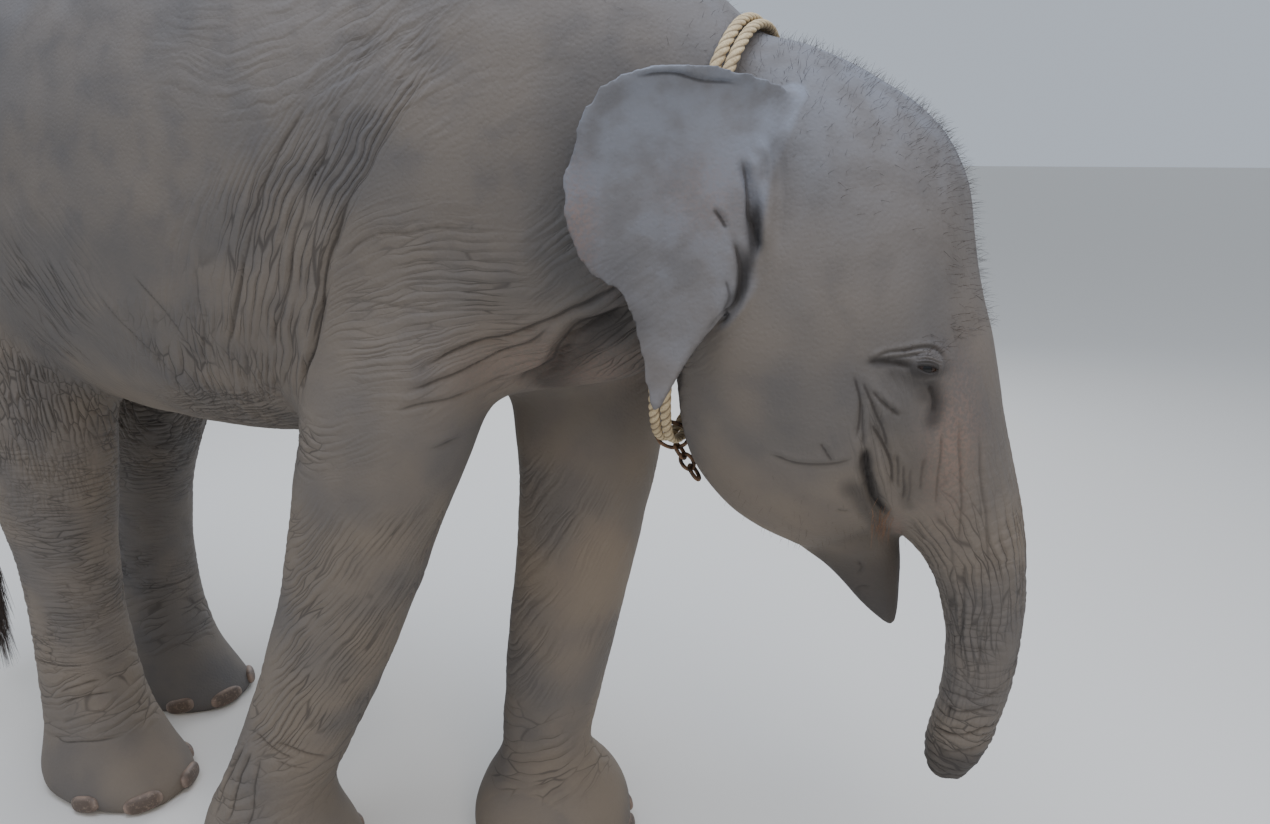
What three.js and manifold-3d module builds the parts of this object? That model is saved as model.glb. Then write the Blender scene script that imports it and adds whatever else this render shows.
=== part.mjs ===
// A life-size museum model of a young Asian elephant: head lowered, trunk hanging, one foreleg
// reaching forward and the other back, with a rope collar round its neck.
//
// Millimetres. +X runs from tail to head, +Y is the animal's left, +Z is up, the floor is z = 0.
// The body is built from lofts: rings stacked along each part, every ring lying between a point
// on the upper or front outline and one on the lower or back outline. Lofts are joined, then
// parted again into head, neck, legs and so on by thin cuts.
import * as THREE from 'three';
import { mergeVertices } from 'three/addons/utils/BufferGeometryUtils.js';
import Module from 'manifold-3d';

const wasm = await Module();
wasm.setup();

// ---------- driving sizes ----------

const gap = 0.4; // air between two parts that touch
const backHeight = 1770; // highest point of the arched back
const bellyHeight = 812; // lowest point of the belly
const barrelHalf = 345; // half the width of the barrel
const sway = 106; // how far the hips swing to the left in the walk
const swayFrom = 620; // where along the body the swing begins, and where it is whole
const swayTo = -480;
const soleRim = 26; // height at which a foot is widest
const ankle = [60, 300]; // between these heights the foot's outward turn dies away
const earRoot = 16; // ear thickness where it grows from the head
const earEdge = 12; // and at its rim
const earHollow = 14; // how far the ear's middle sinks towards the head
const earSunk = 46; // how far the ear's root reaches into the head
const eyeRadius = 21;
const ropeWidth = 17; // each strand of the collar, lying flat
const ropeThickness = 13;
const linkBar = 7; // thickness of the chain links' bar
const linkHalf = [10, 15]; // half the width and length of a link, to the middle of its bar
const nailHeight = 28; // height of a nail's middle
const nailHalf = [13, 38, 23]; // half its thickness, width and height
const nailSlope = -0.2; // a nail leans back with the foot's front
const nailNarrowing = 8; // how much narrower the nails at the sides are
const nailInset = 5; // how far a nail's middle lies inside the foot's surface
const fullness = 0.88; // a power below 1 that fills out the corners of every ring

// ---------- how finely the lofts are divided ----------

const bodySides = 19; // points round the torso, head and trunk
const headSteps = 20;
const torsoSteps = 15;
const legSides = 14;
const lipSides = 11;
const lipSteps = 7;
const tailSides = 7;
const tailSteps = 13;

// Each row is one ring: upper point x, z, lower point x, z, half width, lean, groove.
// Lean above zero widens the ring towards its upper point, below zero towards its lower one.
// Groove is the depth of the furrow along the top of the skull.
const torsoRings = [
  [-872, 1262, -884, 1110, 55, 0, 0],
  [-848, 1380, -862, 1000, 140, 0, 0],
  [-770, 1510, -778, 905, 222, 0, 0],
  [-610, 1630, -610, 850, 285, -0.06, 0],
  [-390, 1718, -390, 846, 322, -0.1, 0],
  [-120, backHeight - 5, -120, bellyHeight, barrelHalf - 3, -0.12, 0],
  [140, backHeight, 140, bellyHeight, barrelHalf, -0.12, 0],
  [350, 1755, 340, 845, 322, -0.12, 0],
  [540, 1725, 500, 898, 290, -0.12, 0],
  [690, 1680, 640, 930, 252, -0.08, 0],
  [830, 1612, 755, 955, 212, -0.04, 0],
  [925, 1531, 850, 990, 182, 0, 0],
  [1000, 1461, 935, 1060, 150, 0, 0],
];

const headRings = [
  [1002, 1469, 962, 1340, 92, 0, 0],
  [1046, 1464, 920, 1195, 158, 0, 3],
  [1104, 1444, 886, 1040, 198, 0, 9],
  [1184, 1408, 890, 880, 214, 0, 14],
  [1246, 1356, 962, 780, 212, -0.03, 12],
  [1286, 1270, 1040, 742, 202, -0.06, 6],
  [1295, 1172, 1110, 732, 190, -0.06, 0],
  [1324, 1080, 1164, 766, 168, -0.05, 0],
  [1345, 985, 1202, 782, 141, 0, 0],
  [1368, 895, 1229, 766, 114, 0, 0],
  [1392, 795, 1257, 738, 93, 0, 0],
  [1405, 700, 1283, 690, 78, 0, 0],
  [1407, 600, 1299, 606, 66, 0, 0],
  [1397, 515, 1299, 526, 58, 0, 0],
  [1380, 435, 1287, 450, 51, 0, 0],
  [1362, 396, 1281, 407, 44, 0, 0],
  [1340, 370, 1294, 373, 32, 0, 0],
];

const lipRings = [
  [1192, 905, 1010, 800, 84, 0, 0],
  [1214, 835, 1040, 748, 96, 0, 0],
  [1220, 778, 1086, 718, 78, 0, 0],
  [1226, 722, 1124, 694, 58, 0, 0],
  [1231, 674, 1152, 662, 42, 0, 0],
  [1234, 636, 1184, 631, 26, 0, 0],
  [1229, 609, 1213, 606, 9, 0, 0],
];

// The last rows are the tuft: coarse hairs along the front and back edges of the tail's end.
const tailRings = [
  [-815, 1366, -815, 1262, 42, 0, 0],
  [-884, 1326, -862, 1238, 38, 0, 0],
  [-930, 1225, -882, 1192, 31, 0, 0],
  [-946, 1070, -902, 1066, 25, 0, 0],
  [-938, 890, -900, 887, 20, 0, 0],
  [-916, 700, -884, 696, 16, 0, 0],
  [-898, 520, -871, 516, 13, 0, 0],
  [-900, 392, -876, 388, 12, 0, 0],
  [-926, 304, -884, 300, 14, 0, 0],
  [-936, 240, -876, 236, 16, 0, 0],
  [-944, 170, -888, 168, 14, 0, 0],
  [-946, 110, -912, 108, 9, 0, 0],
  [-940, 72, -928, 72, 4, 0, 0],
];

// Legs, by height: half the depth from front to back, half the width from side to side.
const reachingLeg = [
  [0, 142, 135],
  [soleRim, 155, 146],
  [70, 154, 146],
  [100, 144, 137],
  [132, 128, 121],
  [162, 101, 98],
  [195, 83, 81],
  [260, 89, 85],
  [400, 98, 92],
  [600, 113, 101],
  [750, 125, 109],
  [900, 146, 119],
  [1060, 158, 117],
  [1220, 136, 94],
];
const trailingLeg = [
  [0, 139, 135],
  [soleRim, 147, 144],
  [70, 140, 139],
  [100, 128, 128],
  [132, 116, 116],
  [162, 109, 106],
  [200, 102, 98],
  [270, 103, 98],
  [400, 108, 99],
  [600, 115, 103],
  [750, 127, 111],
  [900, 148, 119],
  [1060, 160, 115],
  [1220, 142, 88],
];
const hindLeg = [
  [0, 162, 113],
  [soleRim, 172, 122],
  [70, 152, 116],
  [115, 125, 106],
  [160, 112, 98],
  [210, 105, 93],
  [270, 98, 88],
  [400, 89, 82],
  [540, 97, 88],
  [660, 125, 102],
  [780, 180, 120],
  [920, 235, 134],
  [1080, 246, 130],
  [1240, 200, 106],
];
// Where each leg's middle runs, by height: x, then distance from the body's middle plane. The
// nails stand at these bearings on the foot, which turns its toes out. The joint line is where
// the leg parts from the torso, seen from the side.
const foreNails = [-76, -38, 0, 38, 76];
const hindNails = [-66, -20, 30, 78];
const legs = {
  fore_right: {
    side: -1,
    sizes: trailingLeg,
    turnOut: 8,
    run: [[0, 156, 206], [70, 150, 206], [100, 142, 206], [140, 138, 205], [190, 154, 203],
      [300, 209, 196], [480, 294, 182], [750, 402, 182], [1000, 486, 178], [1220, 530, 150]],
    nails: foreNails,
    cuts: [186, 700],
    joint: [[220, 600], [262, 900], [340, 1080], [440, 1190], [550, 1220], [640, 1160], [690, 1020],
      [690, 600]],
  },
  fore_left: {
    side: 1,
    sizes: reachingLeg,
    turnOut: 8,
    run: [[0, 588, 102], [70, 585, 104], [130, 582, 108], [195, 571, 112], [260, 578, 116],
      [340, 591, 121], [500, 614, 131], [650, 639, 140], [750, 650, 150], [1000, 640, 166],
      [1220, 610, 150]],
    nails: foreNails,
    cuts: [206, 700],
    joint: [[466, 600], [476, 900], [500, 1070], [560, 1180], [650, 1220], [735, 1170], [795, 1050],
      [825, 940], [830, 600]],
  },
  hind_right: {
    side: -1,
    sizes: hindLeg,
    turnOut: 4,
    run: [[0, -354, 168], [70, -380, 168], [250, -408, 168], [480, -414, 170], [700, -432, 172],
      [1000, -540, 172], [1240, -576, 158]],
    nails: hindNails,
    cuts: [225, 690],
    joint: [[-250, 600], [-256, 880], [-330, 1060], [-450, 1190], [-600, 1260], [-740, 1230],
      [-830, 1130], [-866, 1000], [-866, 600]],
  },
  hind_left: {
    side: 1,
    sizes: hindLeg,
    turnOut: 6,
    run: [[0, -504, 172], [70, -533, 172], [250, -556, 170], [480, -545, 170], [700, -520, 170],
      [1000, -560, 172], [1240, -580, 158]],
    nails: hindNails,
    cuts: [225, 690],
    joint: [[-262, 600], [-268, 880], [-340, 1060], [-460, 1190], [-600, 1260], [-740, 1230],
      [-836, 1130], [-872, 1000], [-872, 600]],
  },
};
const crotch = 58; // from the body's middle plane to the inner side of each leg's joint

// The ear: the line where it grows from the head and then its free front edge, and the line of
// its outer rim from the folded top round the back to the tip of the long lobe. Each row is x, z
// and the distance from the middle plane.
const earFront = [[1066, 1380, 146], [1058, 1338, 172], [1044, 1280, 194], [1042, 1222, 205],
  [1032, 1162, 212], [1002, 1114, 219], [962, 1062, 232], [924, 988, 258]];
const earRim = [[1066, 1388, 150], [1050, 1401, 172], [1014, 1411, 206], [962, 1420, 236],
  [888, 1410, 274], [840, 1368, 293], [806, 1260, 307], [836, 1174, 295], [880, 1136, 277],
  [898, 1078, 270], [908, 1010, 266], [914, 982, 263]];
const earRooted = 0.6; // how much of the front line grows from the head

// The collar lies on the neck in this ring and hangs below the throat by its slack.
const collarRing = [982, 1481, 898, 1040, 186, 0, 0];
const collarSlack = 148;

const hide = { color: 0x77706a, roughness: 0.92, metalness: 0 };
const darkHide = { color: 0x5d5751, roughness: 0.92, metalness: 0 };
const horn = { color: 0x9c8577, roughness: 0.6, metalness: 0 };
const eyeball = { color: 0x2a1c12, roughness: 0.12, metalness: 0 };
const hair = { color: 0x221e1b, roughness: 0.8, metalness: 0 };
const rope = { color: 0xc2ad86, roughness: 0.95, metalness: 0 };
const iron = { color: 0x3a2a20, roughness: 0.7, metalness: 0.6 };

const upright = new THREE.Vector3(0, 0, 1);
const toRadians = THREE.MathUtils.degToRad;

// ---------- lofts ----------

// A table's values at a height between its rows, each row starting with its own height.
function atHeight(table, height) {
  const last = table.length - 1;
  const i = Math.min(last - 1, table.filter((row) => row[0] <= height).length - 1);
  const slope = (j, k) => {
    const [low, high] = [table[Math.max(j - 1, 0)], table[Math.min(j + 1, last)]];
    return (high[k] - low[k]) / (high[0] - low[0]);
  };
  const [from, to] = [table[i], table[i + 1]];
  const span = to[0] - from[0];
  const f = (height - from[0]) / span;
  return from.map((value, k) => {
    const rise = slope(i, k) * span;
    const leave = slope(i + 1, k) * span;
    const bend = to[k] - value;
    return value + f * rise + f * f * (3 * bend - 2 * rise - leave)
      + f * f * f * (rise + leave - 2 * bend);
  });
}

// The row at place t, from 0 to 1, on a smooth curve through every row of a table.
function rowAt(table, t) {
  const place = t * (table.length - 1);
  const start = Math.min(Math.floor(place), table.length - 2);
  const f = place - start;
  const row = (i) => table[THREE.MathUtils.clamp(i, 0, table.length - 1)];
  const [a, b, c, d] = [row(start - 1), row(start), row(start + 1), row(start + 2)];
  return b.map((value, k) => {
    const rise = (c[k] - a[k]) / 2;
    const leave = (d[k] - value) / 2;
    const bend = c[k] - value;
    return value + f * rise + f * f * (3 * bend - 2 * rise - leave)
      + f * f * f * (rise + leave - 2 * bend);
  });
}

// One ring of points between an upper and a lower outline point. Square holds two powers, for
// across and along: below 1 they fill the ring's corners.
function ring([ux, uz, lx, lz, half, lean, groove, y = 0], sides, grow = 0, square = [fullness, 1]) {
  const middle = new THREE.Vector3((ux + lx) / 2, y, (uz + lz) / 2);
  const up = new THREE.Vector3(ux - lx, 0, uz - lz);
  const reach = up.length() / 2 + grow;
  up.normalize();
  const points = [];
  for (let i = 0; i < sides; i++) {
    const angle = (2 * Math.PI * i) / sides;
    const [across, along] = [Math.cos(angle), Math.sin(angle)].map(
      (value, k) => Math.sign(value) * Math.abs(value) ** square[k],
    );
    const furrow = along > 0 ? groove * Math.exp(-((across / 0.28) ** 2)) : 0;
    const width = (half + grow) * across * (1 + lean * along);
    points.push(
      middle.clone()
        .addScaledVector(up, along * reach - furrow)
        .add(new THREE.Vector3(0, width, 0)),
    );
  }
  return points;
}

// A closed body through rings of equal count, capped at both ends or running round into itself.
function skinOver(rings, endless = false) {
  const sides = rings[0].length;
  const positions = rings.flat().flatMap((p) => [p.x, p.y, p.z]);
  const index = [];
  const spans = endless ? rings.length : rings.length - 1;
  for (let i = 0; i < spans; i++) {
    const here = i * sides;
    const next = ((i + 1) % rings.length) * sides;
    for (let j = 0; j < sides; j++) {
      const k = (j + 1) % sides;
      index.push(here + j, next + k, here + k, here + j, next + j, next + k);
    }
  }
  if (!endless) {
    for (const [start, turn] of [[0, 1], [(rings.length - 1) * sides, -1]]) {
      const members = rings[start / sides];
      const centre = members.reduce((sum, p) => sum.add(p), new THREE.Vector3());
      centre.divideScalar(sides);
      const hub = positions.length / 3;
      positions.push(centre.x, centre.y, centre.z);
      for (let j = 0; j < sides; j++) {
        const pair = [start + j, start + ((j + 1) % sides)];
        index.push(hub, ...(turn > 0 ? pair : pair.reverse()));
      }
    }
  }
  const geometry = new THREE.BufferGeometry();
  geometry.setAttribute('position', new THREE.Float32BufferAttribute(positions, 3));
  geometry.setIndex(index);
  return facingOut(geometry);
}

// The same body with its faces turned outward.
function facingOut(geometry) {
  const p = geometry.attributes.position;
  const index = geometry.index.array;
  const [a, b, c] = [new THREE.Vector3(), new THREE.Vector3(), new THREE.Vector3()];
  let volume = 0;
  for (let i = 0; i < index.length; i += 3) {
    a.fromBufferAttribute(p, index[i]);
    b.fromBufferAttribute(p, index[i + 1]);
    c.fromBufferAttribute(p, index[i + 2]);
    volume += a.dot(b.cross(c));
  }
  if (volume < 0) {
    for (let i = 0; i < index.length; i += 3) {
      [index[i], index[i + 1]] = [index[i + 1], index[i]];
    }
  }
  return geometry;
}

// How far the body's middle plane lies to the left at x.
function swayAt(x) {
  return sway * THREE.MathUtils.smoothstep((swayFrom - x) / (swayFrom - swayTo), 0, 1);
}

function loft(table, sides, steps, grow = 0) {
  const rings = [];
  for (let i = 0; i <= steps; i++) {
    const row = rowAt(table, i / steps);
    rings.push(ring([...row, swayAt(row[0])], sides, grow));
  }
  // A grown loft is longer at both ends too.
  for (const [end, next] of [[rings[0], rings[1]], [rings[steps], rings[steps - 1]]]) {
    const [a, b, c] = [0, Math.floor(sides / 3), Math.floor((2 * sides) / 3)].map((j) => end[j]);
    const off = new THREE.Vector3().crossVectors(b.clone().sub(a), c.clone().sub(a)).normalize();
    const outward = off.dot(a.clone().sub(next[0])) > 0 ? grow : -grow;
    end.forEach((point) => point.addScaledVector(off, outward));
  }
  return toSolid(skinOver(rings));
}

// ---------- solids ----------

function toSolid(geometry) {
  const bare = geometry.clone();
  bare.deleteAttribute('normal');
  bare.deleteAttribute('uv');
  const merged = mergeVertices(bare, 1e-3);
  const vertProperties = new Float32Array(merged.attributes.position.array);
  const triVerts = new Uint32Array(merged.index.array);
  return new wasm.Manifold(new wasm.Mesh({ numProp: 3, vertProperties, triVerts }));
}

function toGeometry(solid) {
  const mesh = solid.getMesh();
  const geometry = new THREE.BufferGeometry();
  geometry.setAttribute('position', new THREE.Float32BufferAttribute(mesh.vertProperties, 3));
  geometry.setIndex([...mesh.triVerts]);
  geometry.computeVertexNormals();
  return geometry;
}

// The biggest single body of a solid: what a cut leaves besides it is crumbs.
function mainBody(solid) {
  return solid.decompose().sort((a, b) => b.volume() - a.volume())[0];
}

// Parts a solid at a plane, with the gap left open: [the side the normal points to, the other].
function partAt(solid, point, normal) {
  const n = new THREE.Vector3(...normal).normalize();
  const offset = n.dot(new THREE.Vector3(...point));
  return [
    mainBody(solid.trimByPlane(n.toArray(), offset + gap / 2)),
    mainBody(solid.trimByPlane(n.clone().negate().toArray(), -offset + gap / 2)),
  ];
}

const group = new THREE.Group();

function add(name, solid, finish) {
  const mesh = new THREE.Mesh(toGeometry(solid), new THREE.MeshStandardMaterial(finish));
  mesh.name = name;
  group.add(mesh);
}

// ---------- head, trunk and lower jaw ----------

function ball(radius, [x, y, z], stretch = [1, 1, 1], turn = [0, 0, 0], facets = [8, 6]) {
  const place = new THREE.Matrix4().compose(
    new THREE.Vector3(x, y, z),
    new THREE.Quaternion().setFromEuler(new THREE.Euler(...turn)),
    new THREE.Vector3(...stretch),
  );
  return toSolid(new THREE.SphereGeometry(radius, ...facets).applyMatrix4(place));
}

const eyePlace = [1249, 160, 1050];

function makeHead() {
  const head = loft(headRings, bodySides, headSteps).add(loft(lipRings, lipSides, lipSteps));
  // The mouth: a slit from the lip's front up to its corner, closing to a thin cut behind it.
  const slit = new THREE.Shape([
    [1226, 600], [1240, 600], [1238, 765], [1225, 830], [1196, 915], [1184, 926], [1100, 905],
    [860, 868], [860, 868 - gap], [1100, 905 - gap], [1180, 920], [1190, 905], [1214, 830],
    [1224, 765],
  ].map(([x, z]) => new THREE.Vector2(x, z)));
  const cut = new THREE.ExtrudeGeometry(slit, { depth: 600, bevelEnabled: false });
  cut.rotateX(Math.PI / 2);
  cut.translate(0, 300, 0);
  return head.subtract(toSolid(cut));
}

// The bigger body is the head with its trunk, the smaller one the lower jaw.
const [headAndTrunk, jaw] = makeHead().decompose().sort((a, b) => b.volume() - a.volume());
add('lower_jaw', jaw, darkHide);

// The trunk leaves the head below the eyes and is parted into four lengths, each across its run.
const trunkCuts = [[1298, 832, -0.62], [1342, 694, -0.08], [1350, 562, 0.06], [1335, 448, 0.16]];
let uncut = headAndTrunk;
const lengths = trunkCuts.map(([x, z, slope]) => {
  const [above, below] = partAt(uncut, [x, 0, z], [slope, 0, 1]);
  uncut = below;
  return above;
});
let head = lengths[0];
for (const side of [-1, 1]) {
  const place = [eyePlace[0], side * eyePlace[1], eyePlace[2]];
  head = head.subtract(ball(eyeRadius + gap, place));
  add(side < 0 ? 'eye_right' : 'eye_left', ball(eyeRadius, place), eyeball);
}
add('head', head, hide);
lengths.slice(1).forEach((length, i) => add(`trunk_${i + 1}`, length, hide));

// The last length ends in one finger, at the front, with the two nostrils behind it.
const finger = ball(11, [1336, 0, 372], [1, 1.2, 1.7]);
const nostrils = [-1, 1].map((side) => {
  const tube = new THREE.CylinderGeometry(7, 9, 70, 6);
  tube.rotateX(Math.PI / 2);
  tube.translate(1312, side * 12, 365);
  return toSolid(tube);
});
const tip = nostrils.reduce((solid, nostril) => solid.subtract(nostril), uncut.add(finger));
add('trunk_4', tip, darkHide);

// ---------- torso, neck, legs and nails ----------

// A leg's ring at a height: its upper and lower points are the front and back of the leg.
function legRing({ side, run, turnOut }, [height, depth, half]) {
  const [, x, y] = atHeight(run, height);
  const middle = new THREE.Vector3(x, swayAt(x) + side * y, height);
  const row = [x + depth, height, x - depth, height, half, 0, 0, middle.y];
  const turn = toRadians(side * turnOut) * (1 - THREE.MathUtils.smoothstep(height, ...ankle));
  return ring(row, legSides, 0, [fullness, fullness]).map(
    (point) => point.sub(middle).applyAxisAngle(upright, turn).add(middle),
  );
}

// The block of space that a leg takes from the torso, with its sides moved out by the given
// distance: its outline seen from the side, running outward from near the middle plane.
function legBlock({ side, joint }, out) {
  const corners = joint.map(([x, z]) => new THREE.Vector2(x, z));
  const middle = corners.reduce((sum, corner) => sum.add(corner), new THREE.Vector2());
  middle.divideScalar(corners.length);
  const outline = corners.map((corner) => {
    const arm = corner.clone().sub(middle);
    return arm.setLength(arm.length() + 2 * out).add(middle);
  });
  const depth = 2 * barrelHalf;
  const inner = swayAt(middle.x) + side * (crotch - out);
  const block = new THREE.ExtrudeGeometry(new THREE.Shape(outline), { depth, bevelEnabled: false });
  block.rotateX(Math.PI / 2);
  block.translate(0, side > 0 ? inner + depth : inner, 0);
  return toSolid(block);
}

function nailOn(leg, bearing, grow = 0) {
  const [, depth, half] = atHeight(leg.sizes, nailHeight);
  const [, x, y] = atHeight(leg.run, nailHeight);
  const [forward, outward] = [Math.cos, Math.sin].map((f) => f(toRadians(bearing)));
  const place = new THREE.Vector3(
    (depth - nailInset) * forward ** fullness,
    leg.side * (half - nailInset) * Math.sign(outward) * Math.abs(outward) ** fullness,
    nailHeight,
  );
  const turn = toRadians(leg.side * leg.turnOut);
  place.applyAxisAngle(upright, turn).add(new THREE.Vector3(x, swayAt(x) + leg.side * y, 0));
  const heading = turn + leg.side * Math.atan2(outward / half, forward / depth);
  const [halfDepth, halfWidth, halfHeight] = nailHalf;
  const narrowed = halfWidth - nailNarrowing * Math.abs(outward);
  const stretch = [halfDepth, narrowed, halfHeight].map((size) => size + grow);
  return ball(1, place.toArray(), stretch, [0, nailSlope, heading], [6, 3]);
}

const headRoom = loft(headRings, bodySides, headSteps, gap)
  .add(loft(lipRings, lipSides, lipSteps, gap));
const torsoWhole = loft(torsoRings, bodySides, torsoSteps);
const torsoRoom = loft(torsoRings, bodySides, torsoSteps, gap);
let torso = mainBody(torsoWhole.subtract(headRoom));

for (const [name, leg] of Object.entries(legs)) {
  const block = legBlock(leg, 0);
  const whole = toSolid(skinOver(leg.sizes.map((row) => legRing(leg, row))));
  const below = whole.subtract(torsoRoom.subtract(block));
  const limb = mainBody(below.add(torso.intersect(block)));
  torso = torso.subtract(legBlock(leg, gap));
  const [upper, rest] = partAt(limb, [0, 0, leg.cuts[1]], [0, 0, 1]);
  const [lower, bareFoot] = partAt(rest, [0, 0, leg.cuts[0]], [0, 0, 1]);
  let foot = bareFoot;
  leg.nails.forEach((bearing, i) => {
    foot = foot.subtract(nailOn(leg, bearing, gap));
    add(`${name}_nail_${i + 1}`, nailOn(leg, bearing), horn);
  });
  add(`${name}_upper`, upper, hide);
  add(`${name}_lower`, lower, hide);
  add(`${name}_foot`, foot, hide);
}

const [neck, body] = partAt(torso, [745, 0, 1300], [1, 0, -0.18]);
const [chest, behind] = partAt(body, [300, 0, 1300], [1, 0, 0]);
const [belly, rump] = partAt(behind, [-290, 0, 1300], [1, 0, 0]);
add('neck', neck, hide);
add('torso_chest', chest, hide);
add('torso_belly', belly, hide);
add('torso_rump', rump, hide);

// ---------- ears ----------

function makeEar(side) {
  const line = (points) => new THREE.CatmullRomCurve3(
    points.map(([x, z, y]) => new THREE.Vector3(x, side * y, z)),
  );
  const [front, rim] = [line(earFront), line(earRim)];
  const steps = 12;
  const across = [0, 0.08, 0.5, 1];
  const rings = [];
  for (let i = 0; i <= steps; i++) {
    const [from, to] = [front.getPointAt(i / steps), rim.getPointAt(i / steps)];
    // The root's own edge lies inside the head.
    const sink = earSunk * THREE.MathUtils.clamp(6 * (earRooted - i / steps), 0, 1);
    const face = (turn) => across.map((t) => {
      const point = from.clone().lerp(to, t);
      const thick = THREE.MathUtils.lerp(earRoot, earEdge, t) / 2;
      const inward = (t === 0 ? sink : 0) + earHollow * Math.sin(Math.PI * t);
      point.y -= side * (inward - turn * thick);
      return point;
    });
    rings.push([...face(1), ...face(-1).reverse()]);
  }
  return mainBody(toSolid(skinOver(rings)).subtract(headRoom));
}

add('ear_right', makeEar(-1), hide);
add('ear_left', makeEar(1), hide);

// ---------- tail ----------

const tail = mainBody(loft(tailRings, tailSides, tailSteps).subtract(torsoRoom));
const [tailRoot, tailRest] = partAt(tail, [-919, 0, 880], [0.12, 0, 1]);
const [tailEnd, tuft] = partAt(tailRest, [-888, 0, 386], [0.1, 0, 1]);
add('tail_1', tailRoot, hide);
add('tail_2', tailEnd, hide);
add('tail_tuft', tuft, hair);

// ---------- collar ----------

const napeFlow = new THREE.Vector3(0.87, 0, -0.5); // along the neck at the nape
const throatFlow = new THREE.Vector3(0.99, 0, -0.12); // and below the throat

// One of the two strands, its middle this far ahead of the collar's own middle line.
function strand(offset) {
  const count = 20;
  const [ux, uz, lx, lz] = collarRing;
  const middle = new THREE.Vector3((ux + lx) / 2, 0, (uz + lz) / 2);
  const down = new THREE.Vector3(lx - ux, 0, lz - uz);
  const reach = down.length() / 2;
  down.normalize();
  const line = ring(collarRing, count, ropeThickness / 2 + 4).map((point) => {
    const depth = point.clone().sub(middle).dot(down) / reach;
    const flow = napeFlow.clone().lerp(throatFlow, (depth + 1) / 2).normalize();
    point.addScaledVector(down, collarSlack * Math.max(0, depth));
    return { point: point.addScaledVector(flow, offset), flow };
  });
  const rings = line.map(({ point, flow }, i) => {
    const ahead = line[(i + 1) % count].point.clone().sub(line[(i + count - 1) % count].point);
    const outward = new THREE.Vector3().crossVectors(ahead, flow).normalize();
    const section = [];
    for (let j = 0; j < 6; j++) {
      const angle = (Math.PI * j) / 3;
      section.push(
        point.clone()
          .addScaledVector(outward, (ropeThickness / 2) * Math.sin(angle))
          .addScaledVector(flow, (ropeWidth / 2) * Math.cos(angle)),
      );
    }
    return section;
  });
  return toSolid(skinOver(rings, true));
}

add('collar_strand_1', strand((ropeWidth + 1) / 2), rope);
add('collar_strand_2', strand(-(ropeWidth + 1) / 2), rope);

// A closed oval of round bar. Its middle line lies in a plane spanned by two directions.
function link([x, z], [halfAcross, halfLong], across, long) {
  const points = [];
  for (let i = 0; i < 8; i++) {
    const angle = (Math.PI * i) / 4;
    points.push(
      new THREE.Vector3(x, 0, z)
        .addScaledVector(across, halfAcross * Math.cos(angle))
        .addScaledVector(long, halfLong * Math.sin(angle)),
    );
  }
  const bar = new THREE.TubeGeometry(
    new THREE.CatmullRomCurve3(points, true), 10, linkBar / 2, 4, true,
  );
  return toSolid(bar);
}

// A ring holds the strands together at their lowest point, and the links hang from it in a row,
// each across the last.
const ringPlace = [861, 877];
const ringHalf = [29, 22];
const hang = new THREE.Vector3(0.59, 0, -0.81);
const level = new THREE.Vector3(1, 0, 0);
const sideways = new THREE.Vector3(0, 1, 0);
const facing = new THREE.Vector3(hang.z, 0, -hang.x);
const hooked = linkBar + 2.5; // how far each link reaches into the one it hangs from
add('collar_ring', link(ringPlace, ringHalf, level, upright), iron);
for (let i = 0; i < 3; i++) {
  const along = linkHalf[1] - hooked + i * (2 * linkHalf[1] - hooked);
  const middle = [
    ringPlace[0] + 10 + hang.x * along,
    ringPlace[1] + 1 - ringHalf[1] + hang.z * along,
  ];
  add(`chain_link_${i + 1}`, link(middle, linkHalf, i % 2 ? facing : sideways, hang), iron);
}

// The origin goes to the floor below the middle of the whole animal.
const box = new THREE.Box3().setFromObject(group);
group.position.set(-(box.min.x + box.max.x) / 2, -(box.min.y + box.max.y) / 2, 0);
group.updateMatrixWorld(true);

export default group;
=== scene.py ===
import itertools
import math

import bpy
import bmesh
import numpy as np
from mathutils.kdtree import KDTree
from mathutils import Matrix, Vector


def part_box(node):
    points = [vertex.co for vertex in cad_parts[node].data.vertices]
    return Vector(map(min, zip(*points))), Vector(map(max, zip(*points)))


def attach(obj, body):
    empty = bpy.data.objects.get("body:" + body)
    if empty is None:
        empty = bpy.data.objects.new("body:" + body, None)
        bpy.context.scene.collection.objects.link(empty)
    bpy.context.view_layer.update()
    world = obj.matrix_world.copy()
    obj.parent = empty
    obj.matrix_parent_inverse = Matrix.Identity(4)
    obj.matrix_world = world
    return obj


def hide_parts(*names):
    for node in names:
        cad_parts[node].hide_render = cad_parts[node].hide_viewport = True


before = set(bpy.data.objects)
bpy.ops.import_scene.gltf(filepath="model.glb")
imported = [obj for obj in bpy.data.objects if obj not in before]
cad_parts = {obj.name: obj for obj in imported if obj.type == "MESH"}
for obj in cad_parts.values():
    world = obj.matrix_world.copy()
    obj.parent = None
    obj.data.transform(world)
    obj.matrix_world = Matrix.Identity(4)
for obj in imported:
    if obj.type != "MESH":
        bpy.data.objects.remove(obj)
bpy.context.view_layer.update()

# ---- Camera ----
# It stands at chest height beside the animal's right shoulder and looks down at its head, near
# enough that the back, the hindquarters and the soles of the feet run out of the picture.

EYE_IN_SOURCE = (1.249, -0.160, 1.050)  # where the part's source puts the right eye, in metres
eye_box = [np.array(corner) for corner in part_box("eye_right")]
source_zero = (eye_box[0] + eye_box[1]) / 2 - EYE_IN_SOURCE


def here(x, y, z):
    """A place in the source's millimetres as a place in the frame."""
    return source_zero + np.array((x, y, z)) / 1000


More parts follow.
